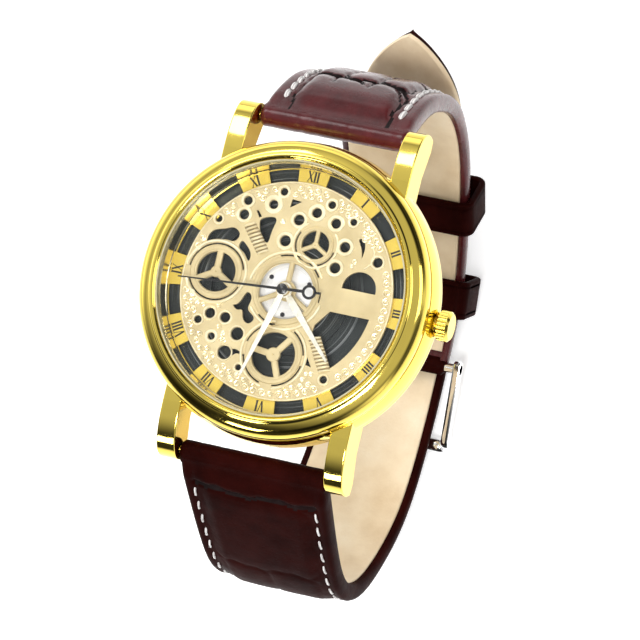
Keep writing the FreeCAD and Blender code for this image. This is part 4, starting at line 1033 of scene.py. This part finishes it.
# Raised collars round the jewel-like holes: (x, y, hole radius, collar radius), mm.
COLLARS = [
    (-7.90, 10.67, 0.58, 1.00), (-3.33, 12.73, 0.50, 0.90), (-4.35, 10.82, 0.60, 1.30),
    (-7.99, 8.76, 0.65, 1.10), (-11.26, 7.55, 0.45, 0.80), (-0.46, 9.47, 0.70, 1.15),
    (-1.65, 6.43, 0.72, 1.25), (3.47, 12.24, 0.50, 0.90), (1.71, 10.84, 0.65, 1.20),
    (4.57, 9.95, 0.65, 1.15), (6.87, 10.58, 0.45, 0.80), (6.50, 7.15, 0.68, 1.20),
    (5.82, 4.23, 0.70, 1.20), (11.30, 6.03, 0.65, 1.00), (-9.44, -4.84, 0.68, 1.00),
    (-7.25, -5.00, 0.68, 1.00), (-10.87, -5.99, 0.50, 0.80), (-5.15, -6.78, 0.85, 1.15),
    (-8.53, -7.79, 0.48, 0.95), (-6.27, -9.53, 0.90, 1.15), (-3.93, -11.07, 0.40, 0.70),
    (7.76, -10.33, 0.50, 0.80),
]
# False wheels: centre, window radius, hub radius, first spoke, spoke width, rim outer radius.
WHEELS = [
    ((-9.95, 0.65), 2.65, 0.75, 90.0, 0.85, 3.55),
    ((2.5, 6.65), 1.85, 0.45, 90.0, 0.55, 2.5),
    ((0.35, -8.5), 2.95, 0.95, 53.0, 0.85, 3.85),
    ((0.0, 0.0), 3.7, 1.35, 90.0, 0.65, 4.5),
]
# Circles that cover the dial's open windows: (x, y, radius), mm.
WINDOWS = [
    (-4.6, 7.4, 2.0), (-11.3, 5.3, 1.5), (-9.2, 6.0, 1.6), (-6.7, 4.1, 1.7), (9.0, 7.0, 1.5),
    (-5.6, -3.2, 1.2), (-4.3, -4.4, 1.2), (-4.7, -9.3, 1.1), (9.7, 2.6, 2.8), (8.4, -3.4, 3.6),
    (5.1, -8.5, 1.0), (-1.6, 11.5, 1.2), (-6.1, 9.2, 0.9),
]


def ring_solid(r_in, r_out, z0, z1, centre, bevel=0.06, segments=64):
    profile = [
        (r_in, z0), (r_out, z0), (r_out, z1 - bevel), (r_out - bevel, z1),
        (r_in + bevel, z1), (r_in, z1 - bevel),
    ]
    return lathe(profile, segments, centre)


def make_dial_relief():
    """Raised collars, false wheels, lines, ribs and scrolls on the dial's face."""
    z0 = RELIEF_FOOT
    solids = []
    for x, y, r, rim in COLLARS:
        solids.append(ring_solid(r + 0.02, rim, z0, DIAL_TOP + 0.10, (x, y), 0.07, 40))
    merged_piece("dial_collars", solids, MAT["dial_relief_highlit"])
    solids = []
    for centre, window, hub, first, width, rim in WHEELS:
        solids.append(ring_solid(window + 0.02, rim, z0, DIAL_TOP + 0.12, centre, 0.08, 96))
        solids.append(ring_solid(window + 0.28, window + 0.40, z0, DIAL_TOP + 0.17, centre, 0.03, 96))
        if hub < 1:
            solids.append(ring_solid(0.02, hub + 0.02, z0, DIAL_TOP + 0.14, centre, 0.1, 40))
        for k in range(3):
            a = first + 120.0 * k
            start = polar(hub * 0.8 if hub < 1 else 1.0, a, centre)
            end = polar(window + 0.25, a, centre)
            solids.append(spoke_solid(start, end, width * 0.86, z0, DIAL_TOP + 0.11))
    merged_piece("dial_wheels", solids, MAT["dial_champagne"])
    make_outer_rims()
    make_ribs()
    make_scrolls()


def spoke_solid(a, b, width, z0, z1):
    """Straight spoke with a bevelled top."""
    direction = (Vector((b[0] - a[0], b[1] - a[1], 0))).normalized()
    side = Vector((-direction.y, direction.x, 0))
    verts = []
    for half, z in ((width / 2, z0), (width / 2, z1 - 0.06), (width / 2 - 0.08, z1)):
        for point, sign in ((a, -1), (a, 1), (b, 1), (b, -1)):
            p = Vector((point[0], point[1], 0)) + side * half * sign
            verts.append((p.x, p.y, z))
    faces = [(3, 2, 1, 0), (8, 9, 10, 11)]
    for level in (0, 4):
        for k in range(4):
            m = (k + 1) % 4
            faces.append((level + k, level + m, level + 4 + m, level + 4 + k))
    return verts, faces


def arc_ridge(centre, radius, start, end, width, z1):
    """Low raised line along an arc."""
    steps = max(6, int(abs(end - start) / 5))
    points = []
    for i in range(steps + 1):
        x, y = polar(radius, start + (end - start) * i / steps, centre)
        points.append((x, y, z1))
    return tube_along(points, width / 2, 6, 0.7)


def make_outer_rims():
    """Raised lines round the slits that part each false wheel from the plate."""
    top = DIAL_TOP + 0.02
    solids = [
        arc_ridge((-9.95, 0.65), 4.10, -160, 178, 0.46, top),
        arc_ridge((2.5, 6.65), 3.02, 120, 400, 0.36, top),
        arc_ridge((0.35, -8.5), 4.42, 95, 260, 0.40, top),
        arc_ridge((0.35, -8.5), 4.42, 280, 420, 0.40, top),
        arc_ridge((0.0, 0.0), 5.10, 30, 175, 0.44, top),
        arc_ridge((0.0, 0.0), 5.10, 215, 350, 0.44, top),
        arc_ridge((8.6, 6.6), 2.05, -60, 80, 0.22, top),
    ]
    merged_piece("dial_rims", solids, MAT["dial_relief_highlit"])


def make_ribs():
    """Two strips of short ridges that look like coiled springs, each on a darker strip that paints
    shade into the gaps between the ridges.
    """
    solids, shade_beds = [], []
    for a, b in (((-6.9, 7.6), (-4.3, 4.4)), ((5.3, -5.3), (7.6, -9.2))):
        # A darker strip under each row of ridges: painted shade in the gaps.
        shade_beds.append(spoke_solid(a, b, 1.7, RELIEF_FOOT, DIAL_TOP + 0.03))
        start, end = Vector((*a, 0)), Vector((*b, 0))
        length = (end - start).length
        direction = (end - start).normalized()
        side = Vector((-direction.y, direction.x, 0))
        count = int(length / 0.50)
        for i in range(count + 1):
            middle = start + direction * (length * i / count)
            points = []
            for k in range(7):
                u = -1 + 2 * k / 6
                p = middle + side * 0.85 * u + direction * 0.16 * u
                points.append((p.x, p.y, DIAL_TOP + 0.16 * (1 - u * u)))
            solids.append(tube_along(points, 0.16, 6, 0.9))
    merged_piece("dial_ribs", solids, MAT["dial_relief_highlit"])
    merged_piece("dial_rib_shade_beds", shade_beds, MAT["dial_rib_shade"])


def scroll(centre_r, angle, size, hand):
    """One leafy curl of the border, a spiral of one and a half turns."""
    cx, cy = polar(centre_r, angle)
    points = []
    for i in range(15):
        t = i / 14
        r = size * (1.0 - 0.82 * t)
        a = math.radians(angle + 90 * hand + hand * 520 * t)
        points.append((cx + r * math.cos(a), cy + r * math.sin(a), DIAL_TOP + 0.03))
    return tube_along(points, 0.105, 5, 0.9)


def blocked(x, y):
    """True where the border would run over a hole, a wheel or a window."""
    for wx, wy, reach in WINDOWS:
        if math.hypot(x - wx, y - wy) < reach:
            return True
    for hx, hy, _, rim in COLLARS:
        if math.hypot(x - hx, y - hy) < rim + 0.35:
            return True
    for centre, _, _, _, _, rim in WHEELS:
        if math.hypot(x - centre[0], y - centre[1]) < rim + 0.7:
            return True
    return False


def make_scrolls():
    """Scrolls in a border inside the line round the dial's edge, and in patches further in."""
    rng = random.Random(5)
    solids = [ring_solid(14.28, 14.46, RELIEF_FOOT, DIAL_TOP + 0.06, (0, 0), 0.04, 220)]
    count = 72
    for i in range(count):
        angle = 360.0 * i / count
        hand = 1 if i % 2 else -1
        for radius, size in ((13.68, 0.52), (12.85, 0.46)):
            a = angle + (0 if radius > 13 else 360.0 / count / 2)
            x, y = polar(radius, a)
            if blocked(x, y) or (radius < 13 and -50 < (a if a < 180 else a - 360) < 26):
                continue
            solids.append(scroll(radius, a, size * rng.uniform(0.85, 1.1), hand))
    patches = [(-9.6, -3.0, 9), (-11.4, -3.6, 6), (-7.0, -8.0, 6), (-3.2, -9.2, 3), (9.4, 8.6, 7),
               (10.2, 5.0, 4), (3.2, 4.0, 3), (7.0, 3.1, 4), (-6.9, 11.6, 5), (-9.6, 9.2, 5),
               (5.9, -11.0, 6), (-5.9, 12.2, 4), (-2.2, 8.0, 3), (8.3, 5.1, 3), (-8.9, -6.4, 5)]
    for px, py, amount in patches:
        for _ in range(amount):
            x, y = px + rng.uniform(-1.1, 1.1), py + rng.uniform(-1.1, 1.1)
            if blocked(x, y) or math.hypot(x, y) > 13.0:
                continue
            radius, angle = math.hypot(x, y), math.degrees(math.atan2(y, x))
            solids.append(scroll(radius, angle, rng.uniform(0.28, 0.42), rng.choice((-1, 1))))
    merged_piece("dial_scrolls", solids, MAT["dial_relief_highlit"])


# Roman numerals as strokes: each glyph is its advance width and a list of thick or thin strokes
# between points in a box one unit high.
GLYPHS = {
    "I": (0.36, [((0.18, 0.0), (0.18, 1.0), 0.17), ((0.03, 0.02), (0.33, 0.02), 0.06),
                 ((0.03, 0.98), (0.33, 0.98), 0.05)]),
    "V": (0.72, [((0.10, 1.0), (0.36, 0.0), 0.15), ((0.62, 1.0), (0.36, 0.0), 0.06),
                 ((0.0, 0.98), (0.24, 0.98), 0.05), ((0.5, 0.98), (0.74, 0.98), 0.05)]),
    "X": (0.76, [((0.10, 1.0), (0.66, 0.0), 0.15), ((0.66, 1.0), (0.10, 0.0), 0.06),
                 ((0.0, 0.98), (0.24, 0.98), 0.05), ((0.54, 0.98), (0.78, 0.98), 0.05),
                 ((0.0, 0.02), (0.24, 0.02), 0.05), ((0.54, 0.02), (0.78, 0.02), 0.05)]),
}
NUMERALS = ["XII", "I", "II", "III", "IIII", "V", "VI", "VII", "VIII", "IX", "X", "XI"]


def stroke(a, b, width, z0, z1):
    ax, ay = a
    bx, by = b
    length = math.hypot(bx - ax, by - ay)
    nx, ny = -(by - ay) / length * width / 2, (bx - ax) / length * width / 2
    outline = [(ax + nx, ay + ny), (bx + nx, by + ny), (bx - nx, by - ny), (ax - nx, ay - ny)]
    return prism(outline, z0, z1)


def make_numerals():
    """Black numerals printed on the hour blocks, their feet towards the centre."""
    height, foot = 1.42, 14.72
    squeeze = 0.80
    z0, z1 = 5.19, 5.225
    solids = []
    for hour, text in enumerate(NUMERALS):
        total = sum(GLYPHS[c][0] for c in text) * height * squeeze
        angle = math.radians(-30.0 * hour)
        cos_a, sin_a = math.cos(angle), math.sin(angle)
        pen = -total / 2
        for letter in text:
            advance, strokes = GLYPHS[letter]
            for a, b, width in strokes:
                ends = []
                for u, v in (a, b):
                    x, y = pen + u * height * squeeze, foot + v * height
                    ends.append((x * cos_a - y * sin_a, x * sin_a + y * cos_a))
                solids.append(stroke(ends[0], ends[1], width * height, z0, z1))
            pen += advance * height * squeeze
    merged_piece("hour_numerals", solids, MAT["numeral_black"], smooth_angle=5)


# ---- hands --------------------------------------------------------------------------------
# Piece, CAD node, body, length, hub radius, bore, shoulder, tip, underside, ridge, clock angle.
BROAD_HANDS = [
    ("hour_hand_blade", "hour_hand", "hours", 11.2, 1.05, 0.75, 1.0, 0.35, 6.1, 6.3, 136.0),
    ("minute_hand_blade", "minute_hand", "minutes", 12.7, 0.72, 0.42, 0.9, 0.3, 6.7, 6.88, 194.6),
]
SHOULDER_SHARE = 0.22      # of a hand's length, where it is broadest
TAPER_SHARE = 0.765        # of its length, over which it narrows to its tip
SECOND_HAND_ANGLE = 265.6
SECOND_HAND_Z = (7.3, 7.44)
COUNTERWEIGHT_AT = (0.0, -3.7)


def turned(solids, clock_angle):
    """Solids that point to 12 o'clock, turned clockwise about the watch's axis."""
    a = math.radians(-clock_angle)
    cos_a, sin_a = math.cos(a), math.sin(a)
    result = []
    for verts, faces in solids:
        spun = [(x * cos_a - y * sin_a, x * sin_a + y * cos_a, z) for x, y, z in verts]
        result.append((spun, faces))
    return result


def hand_blade(name, node, body, length, hub_r, bore, shoulder, tip, z0, z1, clock_angle):
    """Tapering hand with a ridge along its middle and a flat hub ring with bevelled edges."""
    stations = [(0.0, 0.35), (0.10, 0.42), (0.22, 0.5), (0.6, 0.5), (0.985, 0.5), (1.0, 0.02)]
    verts = []
    for share, k in stations:
        half = shoulder * k
        if share > SHOULDER_SHARE:
            half = (shoulder + (tip - shoulder) * (share - SHOULDER_SHARE) / TAPER_SHARE) * k
        y, edge = max(share * length, bore * 0.9), z0 + 0.05
        verts += [(-half, y, z0), (-half, y, edge), (0, y, z1), (half, y, edge), (half, y, z0)]
    rings = len(stations)
    blade = (verts, skin_faces(rings, 5) + cap_faces(rings, 5))
    hub = ring_solid(bore, hub_r, z0, z1 + 0.02, (0, 0), 0.05, 64)
    solids = turned([blade, hub], clock_angle)
    obj = merged_piece(name, solids, MAT["hand_white"], body, 15)
    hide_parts(node)


def make_second_hand():
    """Thin black hand with a domed hub and an open ring on its counterweight."""
    z0, z1 = SECOND_HAND_Z
    hub = lathe([(0.0, z0), (0.72, z0), (0.72, z1 + 0.02), (0.55, z1 + 0.10), (0.0, z1 + 0.16)], 48)
    solids = [
        prism([(-0.20, -2.8), (0.20, -2.8), (0.09, 14.4), (-0.09, 14.4)], z0, z1, 0.03),
        ring_solid(0.62, 0.97, z0, z1, COUNTERWEIGHT_AT, 0.04, 48),
        prism([(-0.16, -5.3), (0.16, -5.3), (0.16, -4.55), (-0.16, -4.55)], z0, z1, 0.03),
        hub,
    ]
    solids = turned(solids, SECOND_HAND_ANGLE)
    obj = merged_piece("second_hand_blade", solids, MAT["hand_black"], "seconds")
    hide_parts("second_hand")


def make_hands():
    for hand in BROAD_HANDS:
        hand_blade(*hand)
    make_second_hand()


# ---- buckle -------------------------------------------------------------------------------
BUCKLE_ANGLE = 12.0
FRAME_REACH = 11.5
FRAME_HALF_X = 11.0
ARM_WIDTH = 1.0
ARM_BEVEL = 0.18
FRONT_BAR_R = 1.12


def in_buckle(points):
    """From the buckle's own frame (bar at the origin) to its place, mm."""
    a = math.radians(BUCKLE_ANGLE)
    placed = []
    for x, y, z in points:
        placed.append((
            x,
            BUCKLE_AT[0] + y * math.cos(a) - z * math.sin(a),
            BUCKLE_AT[1] + y * math.sin(a) + z * math.cos(a),
        ))
    return placed


def buckle_arm(side):
    """One side arm, with a curl at its front end."""
    x0, x1 = side * (FRAME_HALF_X - ARM_WIDTH), side * FRAME_HALF_X
    front = -FRAME_REACH
    outline = [
        (1.2, -0.55), (1.2, 0.55), (0.8, 0.95), (front + 0.9, 0.55), (front - 0.3, -0.1),
        (front - 0.9, -1.2), (front - 0.2, -2.1), (front + 0.8, -1.6), (front + 2.6, -0.75),
        (0.8, -0.95),
    ]
    low, high = min(x0, x1), max(x0, x1)
    n = len(outline)
    cy = sum(p[0] for p in outline) / n
    cz = sum(p[1] for p in outline) / n
    verts = []
    sections = ((low, ARM_BEVEL), (low + ARM_BEVEL, 0.0), (high - ARM_BEVEL, 0.0), (high, ARM_BEVEL))
    for x, inset in sections:
        for y, z in outline:
            dy, dz = y - cy, z - cz
            k = 1 - inset / math.hypot(dy, dz)
            verts.append((x, cy + dy * k, cz + dz * k))
    return in_buckle(verts), cap_faces(4, n) + skin_faces(4, n)


def front_bar():
    """Thick round bar across the front, rounded off at its ends."""
    verts = []
    steps, sides = 24, 20
    for i in range(steps + 1):
        x = -FRAME_HALF_X + 0.1 + (2 * FRAME_HALF_X - 0.2) * i / steps
        end = max(0.0, (abs(x) - (FRAME_HALF_X - 0.8)) / 0.7)
        r = FRONT_BAR_R * math.sqrt(max(0.25, 1 - 0.75 * end**2))
        for k in range(sides):
            a = 2 * math.pi * k / sides
            verts.append((x, -FRAME_REACH + r * math.cos(a), -1.2 + r * 0.98 * math.sin(a)))
    return in_buckle(verts), skin_faces(steps + 1, sides) + cap_faces(steps + 1, sides)


def make_buckle():
    """Bright steel frame: two side arms and the front bar."""
    solids = [buckle_arm(-1), buckle_arm(1), front_bar()]
    steel = MAT["buckle_steel"]
    obj = merged_piece("buckle_frame_bright", solids, steel, "buckle_frame", 40)
    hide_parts("buckle_frame")


# ---- floor and light ----------------------------------------------------------------------
def make_stage():
    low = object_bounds()[0][2]
    bpy.ops.mesh.primitive_plane_add(size=3.0, location=(0, 0, low - 0.0002))
    floor = bpy.context.object
    floor.name = "floor"
    floor.data.materials.append(floor_material())


def area_light(name, at, target, size, watts):
    data = bpy.data.lights.new(name, "AREA")
    data.energy = watts
    data.size = size
    light = bpy.data.objects.new(name, data)
    direction = Vector(target) - Vector(at)
    rotation = direction.to_track_quat("-Z", "Y").to_matrix().to_4x4()
    light.matrix_world = Matrix.Translation(at) @ rotation
    bpy.context.scene.collection.objects.link(light)


def dark_flag(tree, direction, azimuth, elevation, inner, outer, depth):
    """Factor that is 1 away from a direction of the room and 1 - depth round it; a negative
    depth makes a white card of the flag."""
    a, e = math.radians(azimuth), math.radians(elevation)
    dot = tree.nodes.new("ShaderNodeVectorMath")
    dot.operation = "DOT_PRODUCT"
    tree.links.new(direction, dot.inputs[0])
    dot.inputs[1].default_value = (math.cos(e) * math.cos(a), math.cos(e) * math.sin(a), math.sin(e))
    fade = tree.nodes.new("ShaderNodeMapRange")
    fade.interpolation_type = "SMOOTHSTEP"
    tree.links.new(dot.outputs["Value"], fade.inputs["Value"])
    fade.inputs["From Min"].default_value = math.cos(math.radians(outer))
    fade.inputs["From Max"].default_value = math.cos(math.radians(inner))
    fade.inputs["To Min"].default_value = 1.0
    fade.inputs["To Max"].default_value = 1.0 - depth
    return fade.outputs["Result"]


# Brightness of the room from straight below (0) to straight above (1).
ROOM = [(0.0, 0.60), (0.47, 1.50), (0.62, 1.30), (0.71, 0.30), (0.84, 0.72), (1.0, 0.66)]
ROOM_STRENGTH = 0.85
# Azimuth, elevation, inner and outer reach in degrees, depth: three dark flags, one white card.
FLAGS = [
    (52, 8, 18, 42, 0.96), (250, -2, 44, 74, 0.97), (350, 6, 12, 28, 0.90), (150, 20, 25, 60, -0.6),
]
LIGHT_TARGET = (0.0, 0.0, -0.02)
# Name, place in metres, size in metres, power in watts.
SOFTBOXES = [
    ("key_softbox", (-0.26, 0.34, 0.46), 0.26, 1.3),
    ("fill_softbox", (0.46, 0.16, 0.34), 0.24, 0.5),
    ("front_softbox", (-0.15, -0.39, 0.25), 0.12, 0.6),
    ("top_softbox", (0.10, -0.17, 0.50), 0.14, 2.1),
]


def make_light():
    """Pale studio room, with flags and a card for the polished gold to mirror, and softboxes."""
    world = bpy.data.worlds.new("studio")
    bpy.context.scene.world = world
    world.use_nodes = True
    tree = world.node_tree
    background = tree.nodes["Background"]
    coords = tree.nodes.new("ShaderNodeTexCoord")
    split = tree.nodes.new("ShaderNodeSeparateXYZ")
    height = tree.nodes.new("ShaderNodeMapRange")
    height.inputs["From Min"].default_value = -1.0
    height.inputs["From Max"].default_value = 1.0
    ramp = tree.nodes.new("ShaderNodeValToRGB")
    direction = coords.outputs["Generated"]
    tree.links.new(direction, split.inputs[0])
    tree.links.new(split.outputs[2], height.inputs["Value"])
    tree.links.new(height.outputs["Result"], ramp.inputs["Fac"])
    while len(ramp.color_ramp.elements) < len(ROOM):
        ramp.color_ramp.elements.new(0.5)
    for element, (place, value) in zip(ramp.color_ramp.elements, ROOM):
        element.position = place
        element.color = (value, value, value, 1.0)
    strength = ROOM_STRENGTH
    for flag in FLAGS:
        times = tree.nodes.new("ShaderNodeMath")
        times.operation = "MULTIPLY"
        tree.links.new(dark_flag(tree, direction, *flag), times.inputs[0])
        if isinstance(strength, float):
            times.inputs[1].default_value = strength
        else:
            tree.links.new(strength, times.inputs[1])
        strength = times.outputs[0]
    tree.links.new(ramp.outputs["Color"], background.inputs["Color"])
    tree.links.new(strength, background.inputs["Strength"])
    for name, at, size, watts in SOFTBOXES:
        area_light(name, at, LIGHT_TARGET, size, watts)


add_camera()
paint_cad_nodes()
make_strap()
make_keepers()
make_bezel()
make_flange()
make_dial_relief()
make_numerals()
make_hands()
make_buckle()
make_stage()
make_light()
bpy.context.scene.view_settings.view_transform = "Standard"
